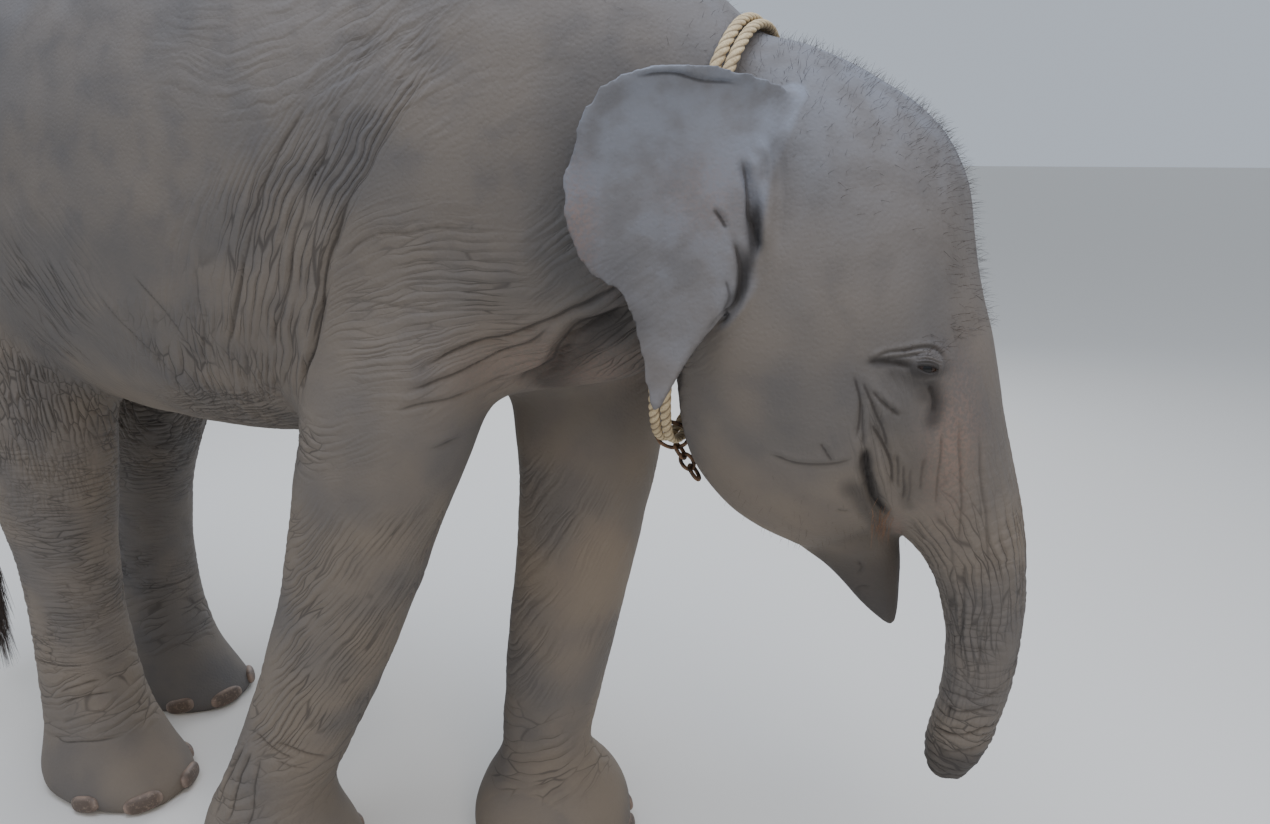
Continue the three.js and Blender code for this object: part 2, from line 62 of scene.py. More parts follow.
camera = bpy.data.objects.new("camera", bpy.data.cameras.new("camera"))
camera.data.sensor_width = 36
camera.data.lens = 28.35  # a moderate wide angle
camera.location = here(1330, -1463, 1320)
camera.rotation_euler = (math.radians(75.21), 0, math.radians(20))
bpy.context.scene.collection.objects.link(camera)
bpy.context.scene.camera = camera

# ---- Body form ----
# A young Asian elephant's hide is one thick, nearly bare skin. It is grown here from the solids
# of its flesh, melted together and relaxed until no facet or joint shows.

LEGS = ("fore_right", "fore_left", "hind_right", "hind_left")
TRUNK = [f"trunk_{i}" for i in (1, 2, 3, 4)]
BODY = ["head", "lower_jaw", *TRUNK, "neck", "torso_chest", "torso_belly", "torso_rump"]
LIMBS = [f"{leg}_{part}" for leg in LEGS for part in ("upper", "lower", "foot")]
NAILS = sorted(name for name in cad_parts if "_nail_" in name)
FORM_VOXEL = 0.008
SKIN_VOXEL = 0.0046
EYE_RADIUS = 0.021
CUT_CLOSED = 0.0008
TOE_INSIDE_NAIL = 0.003


def shell(node, grow=0.0):
    """A node's corners, each once, with its triangles; grown outward by a distance."""
    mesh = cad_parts[node].data
    mesh.calc_loop_triangles()
    corners = np.empty(len(mesh.vertices) * 3)
    mesh.vertices.foreach_get("co", corners)
    faces = np.empty(len(mesh.loop_triangles) * 3, np.int64)
    mesh.loop_triangles.foreach_get("vertices", faces)
    keys = np.round(corners.reshape(-1, 3) * 1e6).astype(np.int64)
    _, first, place = np.unique(keys, axis=0, return_index=True, return_inverse=True)
    corners = corners.reshape(-1, 3)[first]
    faces = place.ravel()[faces].reshape(-1, 3)
    a, b, c = (corners[faces[:, k]] for k in range(3))
    lean = np.cross(b - a, c - a)
    out = np.stack([sum(np.bincount(faces[:, k], lean[:, axis], len(corners)) for k in range(3))
                    for axis in range(3)], axis=1)
    out /= np.linalg.norm(out, axis=1, keepdims=True) + 1e-12
    return corners + grow * out, faces


def round_ball(centre, radius, turns=40):
    """A smooth closed ball as corners and faces."""
    rows = turns // 2
    down, round_ = np.meshgrid(np.arange(1, rows) * math.pi / rows,
                               np.arange(turns) * 2 * math.pi / turns, indexing="ij")
    ring = np.stack([np.sin(down) * np.cos(round_), np.sin(down) * np.sin(round_),
                     np.cos(down)], -1)
    corners = np.concatenate([ring.reshape(-1, 3), [[0, 0, 1], [0, 0, -1]]]) * radius + centre
    faces = []
    for i, j in itertools.product(range(rows - 2), range(turns)):
        k = (j + 1) % turns
        faces.append((i * turns + j, (i + 1) * turns + j, (i + 1) * turns + k, i * turns + k))
    top, bottom, last = (rows - 1) * turns, (rows - 1) * turns + 1, (rows - 2) * turns
    faces += [(top, j, (j + 1) % turns) for j in range(turns)]
    faces += [(bottom, last + (j + 1) % turns, last + j) for j in range(turns)]
    return corners, faces


def taper(first, last, first_radius, last_radius, rows=12, sides=16):
    """A closed rod that narrows between an upper and a lower place."""
    share = np.linspace(0, 1, rows)[:, None, None]
    turn = np.arange(sides) * 2 * math.pi / sides
    ring = np.stack([np.cos(turn), np.sin(turn), 0 * turn], 1)
    first, last = np.array(first), np.array(last)
    radius = first_radius + share * (last_radius - first_radius)
    corners = (first + share * (last - first) + radius * ring).reshape(-1, 3)
    faces = [tuple(range(sides)), tuple(range(rows * sides - 1, (rows - 1) * sides - 1, -1))]
    for i, j in itertools.product(range(rows - 1), range(sides)):
        k = (j + 1) % sides
        faces.append((i * sides + j, (i + 1) * sides + j, (i + 1) * sides + k, i * sides + k))
    return corners, faces


def made_mesh(name, bodies):
    """One mesh from several (corners, faces) pairs."""
    corners, faces, start = [], [], 0
    for points, members in bodies:
        corners.append(np.asarray(points, float))
        faces += [tuple(int(i) + start for i in face) for face in members]
        start += len(points)
    mesh = bpy.data.meshes.new(name)
    mesh.from_pydata(np.concatenate(corners).tolist(), [], faces)
    mesh.update()
    return mesh


def melted(name, mesh, voxel):
    """The outer surface of everything in a mesh, as one new mesh of even small faces."""
    piece = bpy.data.objects.new(name, mesh)
    bpy.context.scene.collection.objects.link(piece)
    remesh = piece.modifiers.new("melt", "REMESH")
    remesh.mode = "VOXEL"
    remesh.voxel_size = voxel
    result = bpy.data.meshes.new_from_object(
        piece.evaluated_get(bpy.context.evaluated_depsgraph_get()))
    bpy.data.objects.remove(piece)
    bpy.data.meshes.remove(mesh)
    return result


def places(mesh):
    """Where the corners of a mesh are, one row each."""
    found = np.empty(len(mesh.vertices) * 3, np.float32)
    mesh.vertices.foreach_get("co", found)
    return found.reshape(-1, 3).astype(float)


def move_to(mesh, corners):
    """Puts the corners of a mesh in new places."""
    mesh.vertices.foreach_set("co", corners.astype(np.float32).ravel())
    mesh.update()


def outward(mesh):
    """The way each corner of a mesh faces."""
    found = np.empty(len(mesh.vertices) * 3, np.float32)
    mesh.vertex_normals.foreach_get("vector", found)
    return found.reshape(-1, 3).astype(float)


class Net:
    """The edges of a mesh, for averaging a value over each corner's neighbours."""

    def __init__(self, mesh):
        pairs = np.empty(len(mesh.edges) * 2, np.int32)
        mesh.edges.foreach_get("vertices", pairs)
        self.a, self.b = pairs.reshape(-1, 2).T.astype(np.int64)
        self.count = len(mesh.vertices)
        self.degree = np.bincount(self.a, minlength=self.count).astype(float)
        self.degree += np.bincount(self.b, minlength=self.count)

    def mean(self, values):
        """Each corner's neighbours, averaged."""
        columns = [np.bincount(self.a, column[self.b], self.count)
                   + np.bincount(self.b, column[self.a], self.count) for column in values.T]
        return np.stack(columns, 1) / self.degree[:, None]

    def blurred(self, values, rounds):
        """Averaged again and again, each corner for its own number of rounds."""
        for turn in range(math.ceil(rounds.max())):
            share = 0.6 * np.clip(rounds - turn, 0, 1)[:, None]
            values = values + share * (self.mean(values) - values)
        return values

    def relaxed(self, corners, rounds):
        """Smoothed without shrinking: what the first pass takes away, smoothed, comes back."""
        smooth = self.blurred(corners, rounds)
        return smooth + self.blurred(corners - smooth, rounds)


def ramp(value, low, high):
    """Smoothly from 0 to 1, as a value goes from low to high."""
    part = np.clip((value - low) / (high - low), 0, 1)
    return part * part * (3 - 2 * part)


def sway(x):
    """How far the hips swing to the left, in metres, at a place along the body."""
    return 0.106 * ramp(0.620 - x, 0, 1.100)


eyes = {side: source_zero + np.array(EYE_IN_SOURCE) * (1, -side, 1) for side in (-1, 1)}
socket_fill = [round_ball(centre, EYE_RADIUS + 0.003) for centre in eyes.values()]
# Thin cuts part the solids, so each grows a little to close them. The toes behind the nails are
# the nails' own solids, made smaller.
flesh = [shell(node, CUT_CLOSED) for node in (*BODY, *LIMBS, "tail_1", "tail_2")]
flesh += [shell(node, -TOE_INSIDE_NAIL) for node in NAILS]
# A ridge of hide leads from the rump into the tail's root, and the tail runs on inside its tuft.
tail_high = np.array(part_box("tail_1")[1])
flesh.append(taper((tail_high[0] + 0.022, 0.054, 1.440), (tail_high[0] - 0.018, 0.056, 1.300),
                   0.012, 0.027))
tuft_low, tuft_high = (np.array(corner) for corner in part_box("tail_tuft"))
tuft_y = (tuft_low[1] + tuft_high[1]) / 2
tail_end = taper((tuft_high[0] - 0.013, tuft_y, tuft_high[2] + 0.020),
                 (tuft_high[0] - 0.042, tuft_y, tuft_high[2] - 0.165), 0.0115, 0.0045)
form = melted("form", made_mesh("form", flesh + socket_fill), FORM_VOXEL)
# Rounds of smoothing: many on the barrel, few on the head, feet, tail and lip.
corners = places(form)
x, y, z = (corners - source_zero).T
rounds = np.full(len(corners), 130.0)
rounds -= 85 * ramp(x, 0.9, 1.05) * ramp(z, 0.6, 0.8)
rounds -= 90 * (1 - ramp(z, 0.5, 0.8))
rounds -= 18 * ramp(x, 1.2, 1.3) * (1 - ramp(z, 0.5, 0.9))
rounds = np.where((x < -0.82) & (z < 1.2), 12, rounds)
near_lip = (x > 1.08) & (x < 1.24) & (z > 0.5) & (z < 0.92)
rounds = np.where(near_lip, 12, rounds)
move_to(form, Net(form).relaxed(corners, rounds))

# ---- Ears ----
# Each ear is a broad flap of skin over a thin sheet of gristle, hung from the side of the skull.
# Its top edge is rolled over, its long lobe hangs free, and its rear rim is thin and frayed.

# Each ear's root and its free edge, from the top down: x, z and the distance from the middle.
EAR_FRONT = [(1066, 1380, 146), (1058, 1338, 172), (1044, 1280, 194), (1042, 1222, 205),
             (1032, 1162, 212), (1002, 1114, 219), (962, 1062, 232), (924, 988, 258)]
EAR_RIM = [(1066, 1388, 150), (1050, 1401, 172), (1014, 1411, 206), (962, 1420, 236),
           (888, 1410, 274), (840, 1368, 293), (806, 1260, 307), (836, 1174, 295),
           (880, 1136, 277), (898, 1078, 270), (908, 1010, 266), (914, 982, 263)]


def curve_through(points, count):
    """Evenly spaced places on a smooth curve through a few points."""
    points = np.asarray(points, float)
    padded = np.concatenate([[2 * points[0] - points[1]], points, [2 * points[-1] - points[-2]]])
    fine = []
    for i in range(len(points) - 1):
        a, b, c, d = padded[i:i + 4]
        for t in np.linspace(0, 1, 24, endpoint=False):
            fine.append(b + t * (c - a) / 2 + t * t * (a - 2.5 * b + 2 * c - d / 2)
                        + t ** 3 * (1.5 * (b - c) + (d - a) / 2))
    fine = np.array(fine + [points[-1]])
    along = np.concatenate([[0], np.cumsum(np.linalg.norm(np.diff(fine, axis=0), axis=1))])
    wanted = np.linspace(0, along[-1], count)
    return np.stack([np.interp(wanted, along, fine[:, k]) for k in range(fine.shape[1])], 1)


def ear_flap(side):
    """The two faces of an ear as one closed body."""
    steps, spans = 110, 40
    front, rim = curve_through(EAR_FRONT, steps), curve_through(EAR_RIM, steps)
    along = np.linspace(0, 1, steps)[:, None]
    across = np.linspace(0, 1, spans)[None, :]
    fray = 7 * np.exp(-((along - 0.56) / 0.012) ** 2) + 5 * np.exp(-((along - 0.74) / 0.01) ** 2)
    fray = fray + 2.2 * np.sin(along * 90) * np.exp(-((along - 0.62) / 0.12) ** 2)
    reach = across * (1 - fray / 260 * across ** 6)
    grid = front[:, None] + (rim - front)[:, None] * reach[..., None]
    sunk = 46 * np.clip(6 * (0.6 - along), 0, 1) * (1 - ramp(across, 0, 0.08))
    rim_round = np.sqrt(1 - np.clip((across - 0.94) / 0.062, 0, 1) ** 2)
    thick = (8 - 3.4 * ramp(across, 0.2, 0.95)) * rim_round
    rolled = 9 * ramp(across, 0.86, 0.99) * ramp(along, 0.02, 0.12) * (1 - ramp(along, 0.34, 0.5))
    wave = 5 * np.sin(along * 15 + across * 3) * across ** 2 * ramp(along, 0.3, 0.5)
    middle = grid[..., 2] - sunk - 14 * np.sin(math.pi * across) + rolled + wave
    faces, sheets = [], []
    for turn in (1, -1):
        sheet = np.stack([grid[..., 0], side * (middle + turn * thick), grid[..., 1]], -1)
        sheets.append(source_zero + sheet.reshape(-1, 3) / 1000)
    size = steps * spans
    for i, j in itertools.product(range(steps - 1), range(spans - 1)):
        a, b, c, d = i * spans + j, (i + 1) * spans + j, (i + 1) * spans + j + 1, i * spans + j + 1
        faces += [(a, b, c, d), (size + d, size + c, size + b, size + a)]
    edge = [i * spans for i in range(steps)] + [(steps - 1) * spans + j for j in range(1, spans)]
    edge += [i * spans + spans - 1 for i in range(steps - 2, -1, -1)]
    edge += range(spans - 2, 0, -1)
    for a, b in zip(edge, edge[1:] + edge[:1]):
        faces.append((b, a, size + a, size + b))
    if side > 0:
        faces = [face[::-1] for face in faces]
    return np.concatenate(sheets), faces


ears = {side: ear_flap(side) for side in (-1, 1)}
form_faces = [tuple(polygon.vertices) for polygon in form.polygons]
whole = made_mesh("elephant_skin", [(places(form), form_faces), ears[-1], ears[1],
                                    tail_end, *socket_fill])
skin_mesh = melted("elephant_skin", whole, SKIN_VOXEL)
bpy.data.meshes.remove(form)

# The skin is made finer round the eyes, where the lids need it.
for radius in (0.075, 0.042):
    corners = places(skin_mesh)
    close = np.zeros(len(corners), bool)
    for centre in eyes.values():
        close |= np.linalg.norm(corners - centre, axis=1) < radius
    work = bmesh.new()
    work.from_mesh(skin_mesh)
    work.verts.ensure_lookup_table()
    chosen = {edge for i in np.nonzero(close)[0] for edge in work.verts[int(i)].link_edges}
    bmesh.ops.subdivide_edges(work, edges=list(chosen), cuts=1, use_grid_fill=True)
    work.to_mesh(skin_mesh)
    work.free()

net = Net(skin_mesh)
corners = places(skin_mesh)
x, y, z = (corners - source_zero).T
side_y = np.abs(y - sway(x))
root_line = curve_through(EAR_FRONT[:6], 40) / 1000
rim_line = curve_through(EAR_RIM, 60) / 1000


def nearness(line, reach):
    """1 on a line along both ears, fading to 0 over its reach."""
    gap = np.full(len(corners), 9.0)
    for px, pz, py in line:
        gap = np.minimum(gap, np.hypot(np.hypot(x - px, z - pz), np.abs(y) - py))
    return np.exp(-(gap / reach) ** 2)


rounds = 5 + 22 * nearness(root_line, 0.03) + 16 * nearness(rim_line, 0.02)
corners = net.relaxed(corners, rounds)
move_to(skin_mesh, corners)

# ---- Folds and wrinkles ----
# Dried mud and age leave the hide cracked: long folds fan out behind the shoulder, rings circle
# the trunk and legs, and a finer net covers belly and thighs. Each is pressed into the mesh.


def scattered(cells, seed):
    """A number from 0 to 1 for each whole-number place, the same on every run."""
    mixed = np.full(cells.shape[:-1], 374761393 * (seed + 1), np.int64)
    for k, factor in zip(range(cells.shape[-1]), (73856093, 19349663, 83492791)):
        mixed = ((mixed ^ (cells[..., k] * factor)) * 1103515245 + 12345) & 0x7FFFFFFF
    mixed = ((mixed ^ (mixed >> 15)) * 2246822519) & 0x7FFFFFFF
    return (mixed ^ (mixed >> 13)) / 0x7FFFFFFF


def rumple(points, seed):
    """Soft random bumps, from -1 to 1, one unit across."""
    whole_part = np.floor(points).astype(np.int64)
    part = points - whole_part
    part = part * part * (3 - 2 * part)
    total = np.zeros(len(points))
    for corner in itertools.product((0, 1), repeat=points.shape[1]):
        weight = np.prod([part[:, k] if on else 1 - part[:, k] for k, on in enumerate(corner)], 0)
        total += weight * scattered(whole_part + corner, seed)
    return 2 * total - 1


def with_gaps(mesh, layers):
    """Stores how far each corner lies from the nearest border between random cells, for each
    layer of places among those cells."""
    tree = bpy.data.node_groups.new("gaps", "GeometryNodeTree")
    tree.interface.new_socket("Geometry", in_out="INPUT", socket_type="NodeSocketGeometry")
    tree.interface.new_socket("Geometry", in_out="OUTPUT", socket_type="NodeSocketGeometry")
    flow = tree.nodes.new("NodeGroupInput").outputs[0]
    for layer in layers:
        spot = tree.nodes.new("GeometryNodeInputNamedAttribute")
        spot.data_type = "FLOAT_VECTOR"
        spot.inputs[0].default_value = layer
        cells = tree.nodes.new("ShaderNodeTexVoronoi")
        cells.feature = "DISTANCE_TO_EDGE"
        cells.inputs["Scale"].default_value = 1.0
        keep = tree.nodes.new("GeometryNodeStoreNamedAttribute")
        keep.inputs["Name"].default_value = layer + "_gap"
        tree.links.new(spot.outputs[0], cells.inputs["Vector"])
        tree.links.new(flow, keep.inputs["Geometry"])
        tree.links.new(cells.outputs["Distance"], keep.inputs["Value"])
        flow = keep.outputs[0]
    tree.links.new(flow, tree.nodes.new("NodeGroupOutput").inputs[0])
    piece = bpy.data.objects.new("gaps", mesh)
    bpy.context.scene.collection.objects.link(piece)
    piece.modifiers.new("gaps", "NODES").node_group = tree
    result = bpy.data.meshes.new_from_object(
        piece.evaluated_get(bpy.context.evaluated_depsgraph_get()))
    bpy.data.objects.remove(piece)
    bpy.data.node_groups.remove(tree)
    return result


def store(mesh, name, values, kind="FLOAT"):
    """Keeps a value for each corner with the mesh."""
    attribute = mesh.attributes.new(name, kind, "POINT")
    key = "vector" if kind == "FLOAT_VECTOR" else "value"
    attribute.data.foreach_set(key, np.asarray(values, np.float32).ravel())


def stored(mesh, name):
    """A value kept for each corner of a mesh."""
    found = np.empty(len(mesh.vertices), np.float32)
    mesh.attributes[name].data.foreach_get("value", found)
    return found.astype(float)


def about(cx, cz, rx, rz, low=0.0):
    """A soft oval patch on both flanks, seen from the side."""
    return np.exp(-(((x - cx) / rx) ** 2 + ((z - cz) / rz) ** 2)) * (side_y > low)


x, y, z = (corners - source_zero).T
side_y = np.abs(y - sway(x))
side = np.sign(y - sway(x))
normals = outward(skin_mesh)
here_all = np.stack([x, y, z], 1)


def tube(line):
    """Distance along a bent middle line, angle round it and distance from it."""
    line = np.asarray(line, float)
    best = np.full(len(x), 9.0)
    along, angle = np.zeros(len(x)), np.zeros(len(x))
    run = 0.0
    for a, b in zip(line, line[1:]):
        d = b - a
        length = np.linalg.norm(d)
        d = d / length
        t = np.clip((here_all - a) @ d, 0, length)
        off = here_all - a - t[:, None] * d
        gap = np.linalg.norm(off, axis=1)
        across = np.cross(d, (0, 1, 0))
        closer = gap < best
        along = np.where(closer, run + t, along)
        angle = np.where(closer, np.arctan2(off[:, 1], off @ across), angle)
        best = np.minimum(best, gap)
        run += length
    return along, angle, best


def node_ends(node):
    """The middles of a leg part's lower and upper cut."""
    points = shell(node)[0] - source_zero
    low, high = points[:, 2].min(), points[:, 2].max()
    return [points[np.abs(points[:, 2] - level) < 0.004].mean(0) for level in (low, high)]


trunk_line = [(1.200, 0, 1.000), (1.280, 0, 0.860), (1.330, 0, 0.760), (1.346, 0, 0.640),
              (1.350, 0, 0.560), (1.336, 0, 0.450), (1.318, 0, 0.372)]
trunk_s, trunk_a, trunk_r = tube(trunk_line)

flaps = np.concatenate([ears[1][0], ears[-1][0]])
flap_places = KDTree(len(flaps))
for i, place in enumerate(flaps):
    flap_places.insert(place, i)
flap_places.balance()
on_ear = np.zeros(len(x))
for i in np.nonzero((x > 0.78) & (x < 1.10) & (z > 0.95) & (side_y > 0.12))[0]:
    on_ear[i] = flap_places.find(corners[i])[2]
on_ear = (on_ear > 0) * (1 - ramp(on_ear, 0.007, 0.018))
calm = 1 - 0.85 * on_ear
on_head = ramp(x, 0.98, 1.10) * ramp(z, 0.72, 0.86)
on_trunk = (1 - ramp(trunk_r, 0.155, 0.185)) * ramp(x, 1.21, 1.26) * (1 - ramp(z, 1.00, 1.08))
wander = 0.012 * np.stack([rumple(here_all * 14, 3 + k) for k in range(3)], 1)
wander += 0.004 * np.stack([rumple(here_all * 45, 7 + k) for k in range(3)], 1)

# The cracks run between cells. Each lie of them has its layer, where it holds, the run along
# its cracks and the run across them, then in metres the length and the width of its cells, and
# the depth of its cracks in millimetres. The last run, left out, is that from side to side.
LAYERS = ("first_cells", "second_cells", "third_cells")
lies = {layer: [] for layer in LAYERS}


def add_lie(layer, weight, along, across, length, width, depth, third=None):
    """Adds one lie of cracks to a layer."""
    third = y if third is None else third
    cell = np.stack([(along + 2 * wander[:, 0]) / length, (third + 2 * wander[:, 1]) / length,
                     (across + min(1, 60 * width) * wander[:, 2]) / width], 1)
    lies[LAYERS[layer]].append((weight, cell, np.broadcast_to(depth, x.shape)))


fan_edge = np.interp(z, (0.85, 0.988, 1.085, 1.169, 1.256, 1.304, 1.365, 1.423, 1.6),
                     (0.310, 0.367, 0.416, 0.445, 0.492, 0.527, 0.565, 0.610, 0.780))
behind = fan_edge - x
upper_arc = z - np.interp(x, (0.05, 0.18, 0.30, 0.386, 0.488, 0.606, 0.75),
                          (1.372, 1.359, 1.340, 1.361, 1.412, 1.466, 1.53))
off_middle = ramp(side_y, 0.03, 0.09)
# the flank behind the shoulder, and the loose skin above and before it
add_lie(0, 1.5 * ramp(behind, -0.02, 0.01) * np.exp(-(np.maximum(behind, 0) / 0.20) ** 2)
        * np.exp(-((z - 1.17) / 0.24) ** 2) * off_middle, z, behind, 0.200, 0.0140, 2.5)
add_lie(1, 1.1 * about(0.46, 1.43, 0.24, 0.09) * off_middle, x, upper_arc, 0.180, 0.016, 1.1)
add_lie(2, 1.2 * about(0.60, 1.08, 0.16, 0.15) * ramp(-behind, -0.01, 0.03) * off_middle, x,
        z - 0.5 * np.maximum(x - 0.56, 0) * (1 - ramp(z, 1.0, 1.12))
        + 0.07 * np.exp(-np.maximum(-behind, 0) / 0.06), 0.150, 0.0125, 1.7)
add_lie(2, 0.7 * about(0.68, 1.38, 0.12, 0.12) * off_middle, x, 0.75 * z - 0.6 * x,
        0.120, 0.018, 0.5)
add_lie(1, 1.3 * about(0.84, 1.10, 0.12, 0.13) * ramp(x, 0.66, 0.74), x, z - 0.62 * x,
        0.150, 0.0130, 2.6)
# the belly: level cracks at its bottom, upright ones on its flank, and slanting ones by the thigh
add_lie(1, 1.3 * about(0.20, 0.89, 0.22, 0.05), x,
        z - 0.25 * x + 0.9 * side_y, 0.080, 0.0120, 2.8)
add_lie(2, 1.0 * about(0.14, 0.99, 0.16, 0.10), z, x - 0.36 * z, 0.070, 0.017, 2.7)
add_lie(1, 1.1 * about(-0.16, 1.06, 0.15, 0.14) * off_middle, (x - 1.35 * z) / 1.68,
        (1.35 * x + z) / 1.68, 0.180, 0.0160, 2.4)
add_lie(2, 1.4 * about(-0.42, 0.86, 0.16, 0.20), z,
        x + 0.12 * z - 0.9 * side_y, 0.045, 0.0125, 3.0)
add_lie(2, 0.5 * about(-0.62, 1.22, 0.22, 0.20) * off_middle, x, z + 0.2 * x, 0.080, 0.022, 0.8)
add_lie(2, np.full(len(x), 0.10), x, z, 0.040, 0.032, 0.35 - 0.2 * on_head)
# rings and long cracks on the trunk, and folds beside its root
add_lie(0, 1.0 * ramp(trunk_s, 0.05, 0.20) * on_trunk, x, trunk_s, 0.070, 0.0135,
        0.8 + 2.2 * ramp(trunk_s, 0.25, 0.60))
add_lie(1, 1.0 * ramp(trunk_s, 0.0, 0.04) * on_trunk * (1 - ramp(np.abs(trunk_a), 2.6, 2.9)),
        trunk_s, trunk_a * 0.07, 0.160, 0.0110,
        (0.5 + 1.5 * ramp(trunk_s, 0.05, 0.28)) * (1 - ramp(trunk_s, 0.42, 0.66)), 0 * x)
add_lie(2, 1.2 * about(1.205, 0.945, 0.050, 0.105) * off_middle, z, x + 0.25 * (z - 0.95),
        0.110, 0.0115, 1.8)
# slanting cracks on the fore shins, rings on the hind ones, and creases at the ankles
for leg in LEGS:
    low, top = node_ends(f"{leg}_lower")
    foot = node_ends(f"{leg}_foot")[0]
    leg_r = tube([foot, low, top, top + 0.8 * (top - low)])[2]
    on_leg = (1 - ramp(leg_r, 0.16, 0.19)) * (1 - ramp(z, 0.72, 0.84))
    out = x - low[0]
    turn = out - 0.9 * np.abs(y - low[1])
    if leg.startswith("fore"):
        steep, ridge = (1.4, 1.2) if leg.endswith("left") else (1.1, 1.8)
        add_lie(0, 1.3 * on_leg * ramp(z, 0.29, 0.36), x,
                (z - steep * turn) / (1 + steep * steep) ** 0.5, 0.170, 0.0105, ridge)
    else:
        add_lie(0, 1.3 * on_leg * ramp(z, 0.26, 0.34), x, z + 0.05 * out, 0.070, 0.0095, 1.9)
        add_lie(1, 1.2 * on_leg * ramp(z, 0.26, 0.32) * (1 - ramp(z, 0.46, 0.54)), x - 0.8 * z,
                0.8 * z + 0.6 * out, 0.080, 0.027, 1.3)
    add_lie(1, 1.5 * on_leg * ramp(z, 0.12, 0.17) * (1 - ramp(z, 0.28, 0.36)), x,
            z - 0.25 * out - 1.6 * out ** 2, 0.110, 0.0240, 1.5)


def laid(layer):
    """Where each corner lies among a layer's cells, and how deep the cracks are there."""
    weights = np.stack([lie[0] for lie in lies[layer]], 1)
    best = weights.argmax(1)
    ranked = np.sort(weights, axis=1)
    held = ramp(ranked[:, -1] - ranked[:, -2], 0.0, 0.20) * np.clip(ranked[:, -1], 0, 1)
    cell, depth = np.zeros((len(x), 3)), np.zeros(len(x))
    for k, (_, own_cell, own_depth) in enumerate(lies[layer]):
        mine = best == k
        cell[mine] = own_cell[mine] + 13.0 * k
        depth[mine] = own_depth[mine]
    return cell, depth * held * calm


depths = {}
for layer in LAYERS:
    cell, depths[layer] = laid(layer)
    store(skin_mesh, layer, cell, "FLOAT_VECTOR")
skin_mesh = with_gaps(skin_mesh, LAYERS)
patchy = np.clip(0.85 + 0.7 * rumple(here_all * 9, 31), 0.3, 1)
patchy = patchy * np.clip(0.9 + 0.8 * rumple(here_all * 26, 32), 0.35, 1)
push = 0.0016 * rumple(here_all * 16, 51) * calm + 0.004 * rumple(here_all * 5, 52) * calm
for layer in LAYERS:
    depths[layer] = depths[layer] * patchy
    gap = stored(skin_mesh, layer + "_gap")
    push -= depths[layer] / 1000 * (1 - ramp(gap, 0, 0.28) - 0.25)
    store(skin_mesh, layer + "_depth", np.clip(depths[layer] / 2.4, 0, 1))

